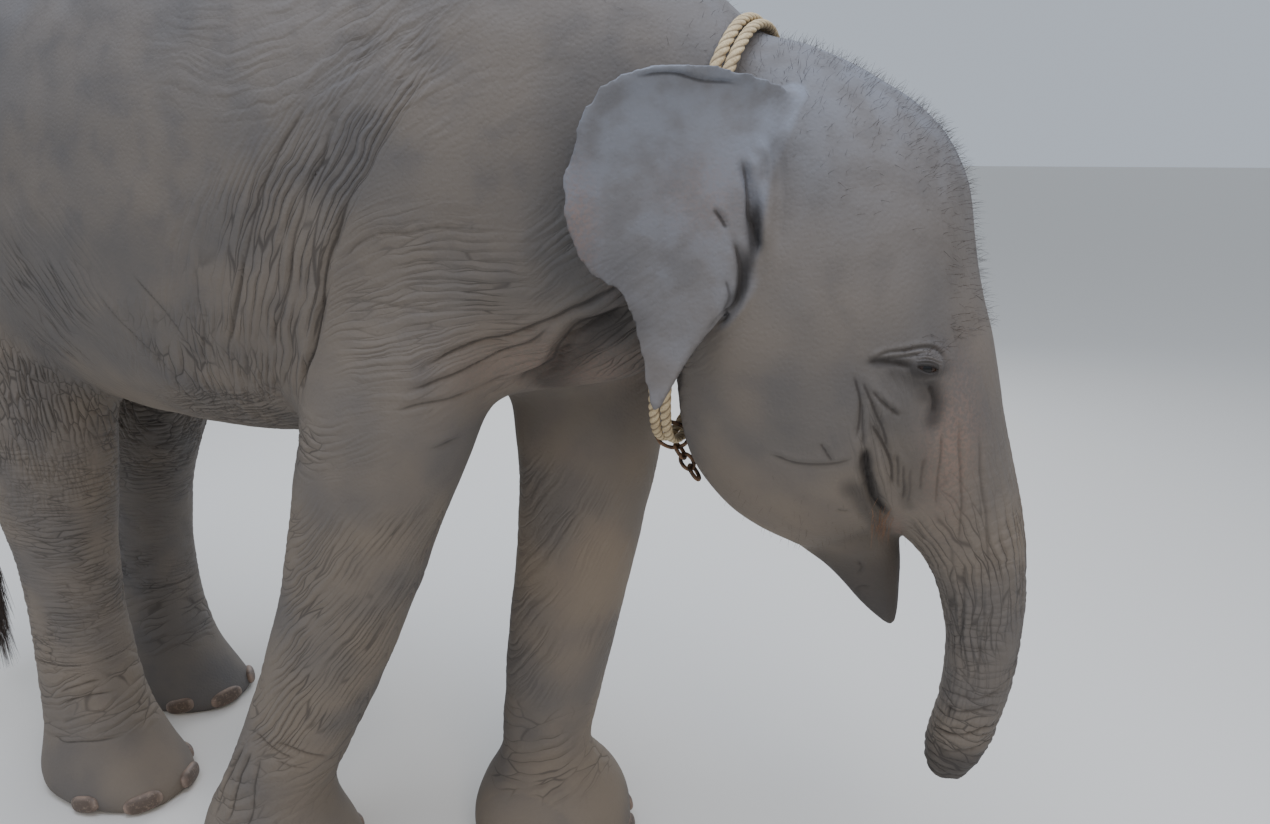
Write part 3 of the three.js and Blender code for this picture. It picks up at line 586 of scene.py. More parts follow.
# The big folds of this animal, each a line seen from the side: depth, width and corners in
# millimetres, on both sides alike. A depth below 0 is a ridge.
FOLDS = [
    (9, 9, [(355, 950), (367, 988), (416, 1085), (445, 1169), (468, 1215), (492, 1256)]),
    (4, 6, [(301, 1009), (364, 1108), (395, 1182), (428, 1268), (453, 1308), (490, 1391)]),
    (4, 6, [(237, 1022), (295, 1131), (340, 1227), (372, 1295), (410, 1348), (448, 1412)]),
    (2.5, 4, [(452, 1159), (500, 1195), (547, 1208), (640, 1214), (698, 1209)]),
    (2, 4, [(440, 1110), (500, 1112), (574, 1101), (640, 1103)]),
    (4, 6, [(315, 1194), (285, 1105), (223, 1004), (205, 960)]),
    (3, 5, [(218, 1164), (205, 1070), (160, 975)]),
    (3, 5, [(79, 1140), (141, 1065), (165, 985)]),
    (3, 5, [(-19, 1102), (47, 1023), (95, 945)]),
    (3, 6, [(-251, 1134), (-170, 1019), (-110, 945)]),
    (3, 6, [(-300, 1130), (-215, 1010), (-160, 935)]),
    (4, 5, [(-400, 246), (-370, 262), (-330, 272), (-318, 262)]),
    (4, 5, [(-392, 222), (-360, 236), (-323, 240), (-300, 234)]),
    (3, 5, [(-400, 178), (-360, 196), (-327, 201), (-299, 202)]),
    (4, 6, [(-430, 150), (-390, 142), (-350, 148), (-297, 147), (-276, 142)]),
    (3, 5, [(48, 158), (52, 190), (75, 240)]),
    (5, 7, [(82, 160), (95, 200), (120, 250), (165, 319)]),
    (5, 7, [(110, 150), (127, 177), (150, 253), (190, 315)]),
    (4, 6, [(150, 140), (173, 181), (188, 260), (209, 315)]),
    (4, 6, [(185, 345), (205, 340), (235, 320), (273, 303)]),
    (4, 6, [(235, 338), (262, 330), (294, 307), (300, 275)]),
    (3, 5, [(230, 300), (255, 290), (283, 275)]),
    (3, 6, [(517, 248), (585, 248), (630, 240), (661, 240)]),
    (3, 6, [(533, 300), (597, 296), (649, 299), (672, 301)]),
    (4, 6, [(535, 180), (560, 215), (590, 250), (605, 257)]),
    (4, 5, [(1292, 463), (1334, 471), (1381, 497)]),
    (4, 5, [(1301, 508), (1338, 512), (1385, 531)]),
    (3, 5, [(1310, 540), (1350, 536), (1396, 563)]),
    (3, 5, [(1296, 435), (1330, 438), (1368, 455)]),
    (12, 12, [(1189, 950), (1187, 925), (1190, 900), (1198, 872), (1208, 846), (1218, 815)]),
    (4, 6, [(1176, 1012), (1181, 965), (1185, 938)]),
    (5, 7, [(1169, 1046), (1174, 1021), (1176, 981), (1172, 950)]),
    (5, 7, [(1179, 1040), (1185, 1019), (1197, 989), (1209, 960), (1214, 935)]),
    (4, 6, [(1189, 1025), (1200, 1010), (1213, 998), (1229, 985)]),
    (6, 7, [(1187, 983), (1198, 965), (1214, 938), (1222, 912), (1222, 878)]),
    (4, 5, [(1225, 940), (1230, 909), (1229, 876)]),
    (4, 5, [(1235, 925), (1237, 889), (1232, 853)]),
    (3, 5, [(1244, 918), (1243, 880), (1238, 850)]),
    (3, 5, [(1257, 932), (1256, 902), (1255, 872)]),
    (4, 7, [(1052, 920), (1090, 913), (1133, 915), (1158, 921), (1176, 934)]),
    (4, 6, [(1127, 947), (1136, 930), (1146, 920)]),
    (3, 5, [(1168, 736), (1176, 721), (1170, 706)]),
    (3, 5, [(1163, 664), (1174, 681), (1190, 686)]),
    (3, 5, [(1150, 846), (1160, 841), (1168, 845)]),
    (3, 4.5, [(1186, 1058), (1204, 1068), (1226, 1073), (1246, 1075), (1262, 1071), (1273, 1060),
              (1276, 1046)]),
    (2.5, 4, [(1196, 1055), (1216, 1063), (1238, 1067), (1256, 1066), (1268, 1058), (1272, 1048)]),
    (4, 8, [(1180, 1058), (1203, 1057), (1222, 1055), (1236, 1049)]),
    (4, 7, [(1258, 1030), (1264, 1010), (1263, 985)]),
    (3, 5, [(1292, 985), (1303, 906), (1311, 831), (1306, 764)]),
    (3, 5, [(1317, 965), (1334, 886), (1346, 813), (1352, 737)]),
    (3, 5, [(1276, 970), (1277, 909), (1276, 840)]),
    (3, 5, [(1320, 775), (1322, 680), (1318, 590)]),
    (3, 5, [(1349, 715), (1351, 621), (1345, 552)]),
    (15, 18, [(640, 955), (675, 980), (710, 999), (743, 1038), (768, 1070), (804, 1085),
              (850, 1104), (880, 1125)]),
    (6, 8, [(560, 1010), (633, 1050), (673, 1058), (737, 1084), (796, 1115), (860, 1150)]),
    (5, 7, [(545, 985), (600, 1000), (655, 1028), (705, 1050), (745, 1084)]),
    (4, 7, [(530, 955), (570, 965), (620, 975), (665, 1000)]),
    (6, 8, [(560, 892), (612, 903), (670, 914), (715, 922), (750, 918), (775, 926)]),
    (4, 6, [(640, 925), (690, 935), (720, 950), (745, 980)]),
    (4, 6, [(753, 910), (724, 856), (697, 794)]),
    (4, 6, [(769, 901), (747, 836), (720, 785)]),
    (4, 6, [(733, 900), (715, 853), (689, 800)]),
]
EAR_FOLDS = [
    (13, 11, [(1012, 1310), (1022, 1285), (1029, 1262), (1032, 1240), (1038, 1201), (1036, 1180)]),
    (6, 6, [(984, 1246), (994, 1232), (1002, 1220)]),
    (10, 9, [(1008, 1215), (1020, 1190), (1023, 1165), (1018, 1130), (1000, 1106), (975, 1085)]),
    (4, 6, [(1003, 1160), (1008, 1135), (1000, 1112)]),
    (-6, 12, [(1036, 1335), (1048, 1290), (1052, 1251), (1050, 1190)]),
    (5, 7, [(894, 1402), (946, 1404), (1015, 1392)]),
]


def line_distance(points, keep):
    """Signed distance from a bent line, and the share of the way along it."""
    best, share = np.full(keep.sum(), 9.0), np.zeros(keep.sum())
    for i, ((ax, az), (bx, bz)) in enumerate(zip(points, points[1:])):
        dx, dz = bx - ax, bz - az
        t = ((x[keep] - ax) * dx + (z[keep] - az) * dz) / (dx * dx + dz * dz)
        t = np.clip(t, 0, 1)
        ox, oz = x[keep] - ax - t * dx, z[keep] - az - t * dz
        gap = np.hypot(ox, oz)
        closer = gap < np.abs(best)
        best = np.where(closer, np.where(dx * oz - dz * ox > 0, gap, -gap), best)
        share = np.where(closer, (i + t) / (len(points) - 1), share)
    return best, share


SETS = 3  # neighbours in the lists go into different sets, so that their lines never mix
fold_off = np.full((SETS, len(x)), 1.0)
fold_show = np.zeros((SETS, len(x)))
above_belly = (1 - on_ear) * ramp(side_y, 0.02, 0.05)
for group, mask in ((FOLDS, above_belly), (EAR_FOLDS, (side_y > 0.13) * (x < 1.08))):
    for number, (fold_depth, width, points) in enumerate(group):
        own = number % SETS
        points = curve_through(np.array(points) / 1000, 4 * len(points))
        reach = 3 * width / 1000
        (low_x, low_z), (high_x, high_z) = points.min(0) - reach, points.max(0) + reach
        keep = (x > low_x) & (x < high_x) & (z > low_z) & (z < high_z) & (mask > 0.01)
        off, share = line_distance(points, keep)
        off += 0.003 * rumple(here_all[keep] * 30, 61)
        fade = ramp(share, 0, 0.18) * (1 - ramp(share, 0.78, 1))
        facing = ramp(normals[keep, 1] * side[keep], 0.05, 0.5) * mask[keep] * fade
        groove = np.exp(-(off / (width / 2000)) ** 2)
        shoulder = np.exp(-((off - width / 1000) / (width / 1400)) ** 2)
        push[keep] += fold_depth / 1000 * facing * (0.35 * shoulder - groove)
        if fold_depth > 0:
            closer = np.abs(off) < np.abs(fold_off[own, keep])
            fold_off[own, keep] = np.where(closer, off, fold_off[own, keep])
            shown = facing * min(1, fold_depth / 6) * (1 - ramp(np.abs(off), 0.005, 0.009))
            fold_show[own, keep] = np.where(closer, shown, fold_show[own, keep])
corners = corners + push[:, None] * normals
corners[:, 2] = np.maximum(corners[:, 2], 0.0004)

# ---- Eyelids ----
# Heavy lids leave only a narrow opening on the ball. Above it arched folds lie one on another,
# and the skin round the opening and in the lids' grooves is painted dark as shade under the lids.

LID_THICK = 0.0030
SLIT_FLOOR = 0.0165  # how far from the ball's middle the skin lies hidden behind the opening


def gaze(eye_side):
    """The way an eye looks: out to its own side and a little forward."""
    way = np.array((0.30, eye_side, 0.04))
    return way / np.linalg.norm(way)


lid_opening_shade, lid_shade = np.zeros(len(x)), np.zeros(len(x))
for eye_side, centre in eyes.items():
    near = np.nonzero(np.linalg.norm(corners - centre, axis=1) < 0.062)[0]
    arm = corners[near] - centre
    distance = np.linalg.norm(arm, axis=1)
    out_axis = gaze(eye_side)
    fore_axis = np.cross((0, 0, 1), out_axis) * -eye_side
    fore_axis /= np.linalg.norm(fore_axis)
    up_axis = np.cross(out_axis, fore_axis) * eye_side
    if up_axis[2] < 0:
        up_axis = -up_axis
    facing = arm @ out_axis / distance
    ahead = np.degrees(np.arctan2(arm @ fore_axis, arm @ out_axis))
    above = np.degrees(np.arcsin(np.clip(arm @ up_axis / distance, -1, 1)))
    # The opening, in degrees seen from the ball's middle: it is closed where the slit is 0.
    slit = np.clip(1 - ((ahead - 3) / 33) ** 2, 0, 1)
    upper = 1 + 8 * slit - 0.14 * ahead
    lower = 1 - 10 * slit - 0.14 * ahead
    outside = np.maximum(above - upper, lower - above)
    outside = np.where(slit > 0, outside, 30)
    lid = ramp(outside, -1.5, 3.5)
    arches = sum(height * np.exp(-((above - upper - rise) / width) ** 2)
                 for rise, width, height in ((7, 4, 2.0), (16, 5, 2.6), (28, 6, 3.0)))
    grooves = sum(height * np.exp(-((above - upper - rise) / 2.2) ** 2)
                  for rise, height in ((12, 2.0), (22, 2.2), (34, 1.8)))
    below = (1.6 * np.exp(-((lower - above - 6) / 4) ** 2)
             - 1.4 * np.exp(-((lower - above - 13) / 3) ** 2))
    reach = np.exp(-(ahead / 48) ** 2)
    relief = (arches - grooves + below) * reach / 1000
    cover = np.maximum(distance, EYE_RADIUS + LID_THICK + relief)
    wanted = (1 - lid) * SLIT_FLOOR + lid * cover
    blend = ramp(facing, 0.15, 0.4) * (1 - ramp(distance, 0.040, 0.058))
    new = distance + blend * (wanted - distance)
    corners[near] = centre + arm / distance[:, None] * new[:, None]
    # painted shade round the opening, under the lids
    lid_opening_shade[near] = np.maximum(lid_opening_shade[near], blend * (1 - ramp(outside, 6, 30)))
    lid_shade[near] = np.maximum(lid_shade[near], np.clip(grooves / 2, 0, 1) * reach * blend)
move_to(skin_mesh, corners)

# ---- Hide ----
# Thick bare skin, wrinkled and dusty: dull, grey-brown, paler where dust and wear lie on it, and
# speckled with pink at the ears, the trunk's root and the brow. Painted shade darkens its cracks,
# folds and hollows, and painted sky light makes its upper faces paler and bluer.


def paint(code):
    """A colour written as sRGB hex, as linear light."""
    parts = [int(code[k:k + 2], 16) / 255 for k in (1, 3, 5)]
    return (*[v / 12.92 if v <= 0.04045 else ((v + 0.055) / 1.055) ** 2.4 for v in parts], 1)


def material(name):
    """A new material, still without nodes."""
    made = bpy.data.materials.new(name)
    made.use_nodes = True
    made.node_tree.nodes.clear()
    return made


def put(made, kind, sockets=None, **settings):
    """Adds one node: its settings, and its sockets' values or the outputs they are linked to."""
    node = made.node_tree.nodes.new("ShaderNode" + kind)
    for key, value in settings.items():
        setattr(node, key, value)
    for key, value in (sockets or {}).items():
        if isinstance(value, bpy.types.NodeSocket):
            made.node_tree.links.new(value, node.inputs[key])
        else:
            node.inputs[key].default_value = value
    return node


def coloured(made, ground, *coats):
    """Coats of colour over a ground. Each coat has the pattern it follows, the two values of the
    pattern that it changes between, its share at each, its colour, and at times a mask."""
    for pattern, low, high, low_share, high_share, colour, *masks in coats:
        share = put(made, "MapRange", {0: pattern, 1: low, 2: high, 3: low_share, 4: high_share},
                    interpolation_type="SMOOTHSTEP").outputs[0]
        for mask in masks:
            share = put(made, "Math", {0: mask, 1: share}, operation="MULTIPLY").outputs[0]
        ground = put(made, "Mix", {0: share, 6: ground, 7: colour}, data_type="RGBA").outputs[2]
    return ground


def finished(made, sockets, relief=(), strength=1.0, distance=0.001):
    """Ends a material in its shader. The relief is heights, each with its own share."""
    total = None
    for height, share in relief:
        if share != 1:
            height = put(made, "Math", {0: height, 1: share}, operation="MULTIPLY").outputs[0]
        total = height if total is None else put(made, "Math", {0: total, 1: height}).outputs[0]
    if total is not None:
        bump = put(made, "Bump", {"Height": total, "Strength": strength, "Distance": distance})
        sockets = {**sockets, "Normal": bump.outputs[0]}
    shader = put(made, "BsdfPrincipled", sockets)
    put(made, "OutputMaterial", {"Surface": shader.outputs[0]})


def fitted(name, mesh, finish, slot, *nodes, smooth=True):
    """Puts a mesh in the scene as a piece with a finish, in place of the nodes it stands for."""
    piece = bpy.data.objects.new(name, mesh)
    bpy.context.scene.collection.objects.link(piece)
    mesh.materials.append(finish)
    if smooth:
        mesh.polygons.foreach_set("use_smooth", np.ones(len(mesh.polygons), bool))
    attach(piece, "root")
    if nodes:
        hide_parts(*nodes)
    return piece


# Where pink skin shows: the middle of each place, its reach fore and aft and up and down, and
# how much.
pink = np.zeros(len(x))
for cx, cz, rx, rz, amount in ((0.828, 1.215, 0.020, 0.075, 0.50),
                               (0.975, 1.262, 0.050, 0.050, 0.20),
                               (1.290, 0.940, 0.030, 0.100, 0.55),
                               (0.740, 1.000, 0.110, 0.060, 0.50),
                               (1.224, 0.790, 0.010, 0.040, 0.70)):
    pink = np.maximum(pink, amount * about(cx, cz, rx, rz, 0.04))
# Dust lies thickest low down. The left foreleg is made paler still, painted bounce light from the
# floor, and the left hind one keeps hardly any, painted shade.
dust_and_painted_light_mask = (1 - ramp(z, 0.7, 1.35)) * (1 + 0.4 * (y > 0) * (x > 0.3))
dust_and_painted_light_mask = dust_and_painted_light_mask * (1 - 0.9 * (y > sway(x)) * (x < 0) * (1 - ramp(z, 0.6, 0.9)))
dark = np.maximum(0.95 * lid_opening_shade, 0.7 * lid_shade)
# Dark places, each along a line seen from the side: how dark, half its width and its corners.
# Most are painted shade: round the eye, in the mouth's crease, under the ear, under the shoulder
# and in the crease where the ear meets the head.
on_flank = side_y > 0.02
for amount, width, points in (
        (0.8, 9, [(1176, 1059), (1203, 1058), (1222, 1057), (1240, 1053), (1266, 1050)]),
        (0.75, 13, [(1254, 1042), (1262, 1022), (1268, 1000), (1262, 965)]),
        (0.55, 16, [(1200, 1052), (1225, 1042), (1250, 1030), (1262, 1000)]),
        (0.35, 36, [(1195, 1010), (1225, 965), (1243, 910), (1250, 850)]),
        (0.45, 40, [(800, 1230), (850, 1165), (880, 1110), (885, 1080)]),
        (0.95, 11, [(1188, 945), (1187, 915), (1193, 890), (1202, 864), (1214, 825)]),
        (0.7, 20, [(1150, 890), (1178, 875), (1190, 845), (1200, 815), (1200, 760)]),
        (0.45, 14, [(1240, 900), (1238, 870), (1244, 840)]),
        (0.75, 30, [(655, 950), (700, 975), (745, 1015), (790, 1060), (850, 1085)]),
        (0.9, 9, [(1036, 1262), (1036, 1225), (1032, 1190), (1024, 1150), (1008, 1118)])):
    off, share = line_distance(np.array(points) / 1000, on_flank)
    darkening = amount * np.exp(-(off * 1000 / width) ** 2)
    darkening = darkening * ramp(share, -0.1, 0.2) * (1 - ramp(share, 0.85, 1.1))
    dark[on_flank] = np.maximum(dark[on_flank], darkening)
trunk_tip = (1 - ramp(z, 0.42, 0.47)) * (x > 1.2)
lip = (1 - ramp(z, 0.70, 0.84)) * ramp(x, 1.06, 1.12) * (x < 1.26) * (z > 0.5) * (1 - on_trunk)
# Painted shade under the chin and in the eye's opening; the trunk's tip and the lip are darker too.
for amount, place in ((0.55, about(1.17, 0.75, 0.09, 0.11)),
                      (0.95, about(1.250, 1.047, 0.030, 0.013)), (0.6, trunk_tip), (0.72, lip)):
    dark = np.maximum(dark, amount * place)
facing_up = ramp(outward(skin_mesh)[:, 2], 0.1, 0.9)
# Painted sky light: the ears, the top of the head and every upward face turn paler and bluer, as
# the sky lights them.
painted_sky_light = on_ear * (0.35 + 0.4 * ramp(z, 1.05, 1.4))
painted_sky_light += ramp(z, 1.0, 1.35) * (0.22 * on_head + 0.36 * facing_up)
for own in range(SETS):
    store(skin_mesh, f"fold_off_{own}", fold_off[own])
    store(skin_mesh, f"fold_show_{own}", fold_show[own])
for name, values in (("pink", pink), ("dust_and_painted_light", dust_and_painted_light_mask), ("painted_sky_tint", np.clip(painted_sky_light, 0, 1)),
                     ("dark", dark)):
    store(skin_mesh, name, values)

# Dry, horny skin with dust rubbed into it hardly shines. Light that grazes it picks out the
# cracks and pores.
hide = material("weathered_elephant_hide")
spot = put(hide, "TexCoord").outputs["Object"]
dust_and_painted_light, painted_sky_tint, pink_skin, painted_shade_and_dark_parts = (put(hide, "Attribute", attribute_name=name).outputs["Fac"]
                                 for name in ("dust_and_painted_light", "painted_sky_tint", "pink", "dark"))
# Specks are 5 mm across, clouds of colour 220 mm and blotches 50 mm. The grain is 6 mm across,
# coarser than the real one so that it shows.
speck, clouds, blotch = (
    put(hide, "TexNoise", {"Vector": spot, "Scale": scale, "Detail": detail}).outputs[0]
    for scale, detail in ((210.0, 1.0), (4.5, 2.0), (20.0, 3.0)))
pores = put(hide, "TexVoronoi", {"Vector": spot, "Scale": 160.0, "Randomness": 1.0}).outputs[0]
grain = put(hide, "MapRange", {0: pores, 1: 0.2, 2: 0.65, 3: 1.0, 4: 0.0},
            interpolation_type="SMOOTHSTEP").outputs[0]
# Every crack: the distance from it, the distances where it is full and gone, and its strength.
edges, swells = [], []
for own in range(SETS):
    off, show = (put(hide, "Attribute", attribute_name=f"fold_{what}_{own}").outputs["Fac"]
                 for what in ("off", "show"))
    off = put(hide, "Math", {0: off}, operation="ABSOLUTE").outputs[0]
    edges.append((off, 0.0002, 0.0036, show))
for layer in LAYERS:
    place = put(hide, "Attribute", attribute_name=layer).outputs["Vector"]
    depth = put(hide, "Attribute", attribute_name=layer + "_depth").outputs["Fac"]
    gap = put(hide, "TexVoronoi", {"Vector": place, "Scale": 1.0},
              feature="DISTANCE_TO_EDGE").outputs[0]
    reach = put(hide, "Math", {0: depth, 1: 0.05, 2: 0.035}, operation="MULTIPLY_ADD").outputs[0]
    strength, swell = (put(hide, "MapRange", {0: value, 1: 0.0, 2: full},
                           interpolation_type="SMOOTHSTEP").outputs[0]
                       for value, full in ((depth, 0.9), (gap, 0.32)))
    edges.append((gap, 0.0, reach, strength))
    swell = put(hide, "Math", {0: swell, 1: depth}, operation="MULTIPLY").outputs[0]
    swells.append((swell, 2.8))
cracks = None
for gap, full, gone, strength in edges:
    line = put(hide, "MapRange", {0: gap, 1: full, 2: gone, 3: 1.0, 4: 0.0},
               interpolation_type="SMOOTHSTEP").outputs[0]
    line = put(hide, "Math", {0: line, 1: strength}, operation="MULTIPLY").outputs[0]
    if cracks is not None:
        line = put(hide, "Math", {0: cracks, 1: line}, operation="MAXIMUM").outputs[0]
    cracks = line
hide_colour = coloured(hide, paint("#5f5b58"), (clouds, 0.35, 0.65, 0.0, 1.0, paint("#6b645d")),
                       (blotch, 0.42, 0.75, 0.0, 0.36, paint("#504f51")),
                       # dust, with painted bounce light on the left foreleg and painted shade on
                       # the left hind one
                       (clouds, 0.3, 0.7, 0.15, 0.6, paint("#7f7263"), dust_and_painted_light),
                       # painted sky light: paler and bluer on the ears, the crown and upward faces
                       (blotch, 0.35, 0.65, 1.15, 0.55, paint("#7a7e87"), painted_sky_tint),
                       (speck, 0.38, 0.66, 0.25, 1.0, paint("#8a7064"), pink_skin),
                       # painted shade in every crack and fold line
                       (cracks, 0.0, 1.0, 0.0, 0.58, paint("#2c2725")),
                       # mostly painted shade, from the dark places above
                       (painted_shade_and_dark_parts, 0.0, 1.0, 0.0, 0.8, paint("#2b2827")))
# The shares of the relief are heights in millimetres.
finished(hide, {"Base Color": hide_colour, "Roughness": 0.78, "Specular IOR Level": 0.32},
         ((grain, 0.25), (cracks, -0.5), (speck, 0.18), *swells))
fitted("elephant_skin", skin_mesh, hide, "hide", *BODY, *LIMBS,
       "ear_right", "ear_left", "tail_1", "tail_2")

# ---- Eyes ----
# A dark brown eyeball fills each socket under a clear, wet cornea, which bulges a little over
# the iris, so that the lamps glint in it.

CORNEA_RISE = 0.0006
# A moist ball is smooth and clear as glass: a small sharp glint over a dark iris, and brown
# where the white would be. The iris's fibres are 0.05 mm across.
moist_eye = material("moist_brown_eye")
gazing = put(moist_eye, "Attribute", attribute_name="gaze").outputs["Fac"]
fibres = put(moist_eye, "TexNoise", {"Scale": 900.0, "Detail": 2.0}).outputs[0]
iris = coloured(moist_eye, paint("#3a2416"), (fibres, 0.4, 0.6, 0.0, 1.0, paint("#23150d")),
                (gazing, 0.955, 0.965, 0.0, 1.0, paint("#070505")))
eye_colour = coloured(moist_eye, paint("#4a3b33"), (gazing, 0.80, 0.84, 0.0, 1.0, iris))
finished(moist_eye, {"Base Color": eye_colour, "Roughness": 0.12, "IOR": 1.376,
                     "Coat Weight": 0.4, "Coat Roughness": 0.05})
points, faces = round_ball((0, 0, 0), 1.0, 64)
for eye_side, centre in eyes.items():
    node = "eye_right" if eye_side < 0 else "eye_left"
    ahead = points @ gaze(eye_side)
    lift = EYE_RADIUS + CORNEA_RISE * ramp(ahead, 0.86, 1.0)
    eye_mesh = made_mesh(node + "_ball", [(points * lift[:, None] + centre, faces)])
    store(eye_mesh, "gaze", ahead)
    fitted(node + "_ball", eye_mesh, moist_eye, "eyeball", node)

# ---- Nails ----
# Blunt plates of horn set in the front of each foot: five on a forefoot and four on a hind one.
# They are ridged from growth, pinkish tan with a darker middle, and dusty.

PROUD = 1.10  # how much larger than its solid a nail is, as its edges are rounded off
# Grown horn is dense and a little waxy: a soft sheen, broken up by the ridges. The ridges are
# 5 mm apart, the flecks 6 mm across and the stains 42 mm.
horn = material("ridged_toenail_horn")
spot = put(horn, "TexCoord").outputs["Object"]
rise = put(horn, "Attribute", attribute_name="rise").outputs["Fac"]
flecks, darkening = (put(horn, "TexNoise", {"Vector": spot, "Scale": scale, "Detail": 4.0}).outputs[0]
                 for scale in (160.0, 24.0))
ridges = put(horn, "TexWave", {"Vector": spot, "Scale": 60.0, "Distortion": 3.0, "Detail": 2.0},
             bands_direction="Z").outputs["Fac"]
tan = coloured(horn, paint("#8f7a6b"), (darkening, 0.35, 0.65, 0.0, 1.0, paint("#7a6a5f")))
tan = coloured(horn, paint("#57493f"), (rise, 0.25, 0.95, 0.0, 1.0, tan),
               (flecks, 0.5, 0.75, 0.0, 0.4, paint("#a8937f")))
finished(horn, {"Base Color": tan, "Roughness": 0.55}, ((ridges, 0.5), (flecks, 0.5)), 0.5)
ball_points, ball_faces = round_ball((0, 0, 0), 1.0)
plate = np.sign(ball_points) * np.abs(ball_points) ** 0.8
plate[:, 0] = ball_points[:, 0]
for node in NAILS:
    nail_corners = shell(node)[0]
    centre = nail_corners.mean(0)
    axes = np.linalg.eigh(np.cov((nail_corners - centre).T))[1]
    reach = np.abs((nail_corners - centre) @ axes).max(0)
    placed = (plate * reach * PROUD) @ axes.T + centre - (0, 0, 0.004)
    placed[:, 2] = np.maximum(placed[:, 2], 0.0006)
    nail_mesh = made_mesh(node + "_horn", [(placed, ball_faces)])
    store(nail_mesh, "rise", np.abs(ball_points[:, 1:]).max(1) ** 2)
    fitted(node + "_horn", nail_mesh, horn, "nail", node)

# ---- Rope collar ----
# Two turns of pale laid rope lie side by side round the neck and hang below the throat. Each is
# three yarns twisted together, worn fluffy and dusty.

ROPE_HALF = (0.0062, 0.0084)  # half the thickness and half the width of a turn
LAY = 0.034  # one full twist of the yarns
SOLID_RINGS, SOLID_SIDES = 20, 6  # what a turn's solid is made of
STEPS, SIDES = 26 * 40, 30  # rings along the rope, and corners in each
# Twisted plant fibre is matt and fuzzy: straw-coloured where it is rubbed and browner with grime.
# The hollows between the yarns get painted shade. Fibres are drawn 2.4 mm apart, so that they show,
# and grime is 45 mm.
rope_fibre = material("laid_plant_fibre_rope")
spot = put(rope_fibre, "TexCoord").outputs["Object"]
yarn_gap_shade = put(rope_fibre, "Attribute", attribute_name="yarn_gap_shade").outputs["Fac"]
fibre, grime = (
    put(rope_fibre, "TexNoise", {"Vector": spot, "Scale": scale, "Detail": 4.0}).outputs[0]
    for scale in (420.0, 22.0))
straw = coloured(rope_fibre, paint("#b7a17c"), (fibre, 0.35, 0.65, 0.0, 1.0, paint("#cdbb98")),
                 (grime, 0.45, 0.75, 0.0, 0.6, paint("#8b765a")),
                 # painted shade between the yarns
                 (yarn_gap_shade, 0.25, 1.0, 0.0, 0.75, paint("#4d3d2c")))
finished(rope_fibre, {"Base Color": straw, "Roughness": 0.92}, ((fibre, 1),), 0.6, 0.0008)
for node in ("collar_strand_1", "collar_strand_2"):
    loop = shell(node)[0]
    arms = loop - loop.mean(0)
    order = np.argsort(np.arctan2(arms[:, 1], arms[:, 2]))
    loop = loop[order].reshape(SOLID_RINGS, SOLID_SIDES, 3).mean(1)
    # The closed loop is one round of a curve that runs a little past its start at both ends.
    dense = curve_through(np.concatenate([loop[-3:], loop, loop[:3]]), STEPS)
    from_start = np.linalg.norm(dense - loop[0], axis=1)
    dense = dense[np.argmin(from_start[:200]):len(dense) - 200 + np.argmin(from_start[-200:])]
    steps = np.linalg.norm(np.roll(dense, -1, 0) - dense, axis=1)
    total = steps.sum()
    travelled = np.concatenate([[0], np.cumsum(steps)[:-1]])
    ahead = np.roll(dense, -1, 0) - np.roll(dense, 1, 0)
    ahead /= np.linalg.norm(ahead, axis=1, keepdims=True)
    plane = np.linalg.svd(dense - dense.mean(0), full_matrices=False)[2][2]
    outwards = np.cross(ahead, plane * np.sign(plane[0]))
    outwards /= np.linalg.norm(outwards, axis=1, keepdims=True)
    sideways = np.cross(outwards, ahead)
    around = np.arange(SIDES) * 2 * math.pi / SIDES
    twist = 2 * math.pi * round(total / LAY) * travelled[:, None] / total / 3 * 2
    yarn = np.abs(np.cos(1.5 * (around[None, :] - twist)))
    swell = 0.80 + 0.22 * yarn
    rings = (dense[:, None] + swell[..., None] * (
        ROPE_HALF[0] * np.sin(around)[None, :, None] * outwards[:, None]
        + ROPE_HALF[1] * np.cos(around)[None, :, None] * sideways[:, None]))
    index = np.arange(len(dense) * SIDES).reshape(len(dense), SIDES)
    beside = np.roll(index, -1, 1)
    quads = np.stack([index, beside, np.roll(beside, -1, 0), np.roll(index, -1, 0)], -1)
    rope_mesh = made_mesh(node + "_rope", [(rings.reshape(-1, 3), quads.reshape(-1, 4).tolist())])
    store(rope_mesh, "yarn_gap_shade", 1 - yarn.ravel())
    fitted(node + "_rope", rope_mesh, rope_fibre, "rope", node)

# ---- Collar ring and chain ----
# A forged ring gathers the rope under the throat and three short links hang from it: round iron
# bar, rusted dark brown with paler flakes.

# Forged iron left outdoors has a skin of brown oxide, which leaves little of the metal's shine.
# Flakes of rust are 8 mm across and pits 1.4 mm.
rust = material("rusted_forged_iron")
spot = put(rust, "TexCoord").outputs["Object"]
flakes, pits = (
    put(rust, "TexNoise", {"Vector": spot, "Scale": scale, "Detail": detail}).outputs[0]
    for scale, detail in ((130.0, 6.0), (700.0, 4.0)))
brown = coloured(rust, paint("#3a2b22"), (flakes, 0.38, 0.62, 0.0, 1.0, paint("#8a6a50")))
finished(rust, {"Base Color": brown, "Roughness": 0.72, "Metallic": 0.35},
         ((pits, 1),), 0.6, 0.0006)
for node in ("collar_ring", "chain_link_1", "chain_link_2", "chain_link_3"):
    # Rounding draws the bar in, so its cage stands 1.1 mm proud of the solid.
    cage = made_mesh(node + "_bar", [shell(node, 0.0011)])
    rounding = fitted(node + "_bar", cage, rust, "iron", node).modifiers.new("rounding", "SUBSURF")
    rounding.levels = rounding.render_levels = 3

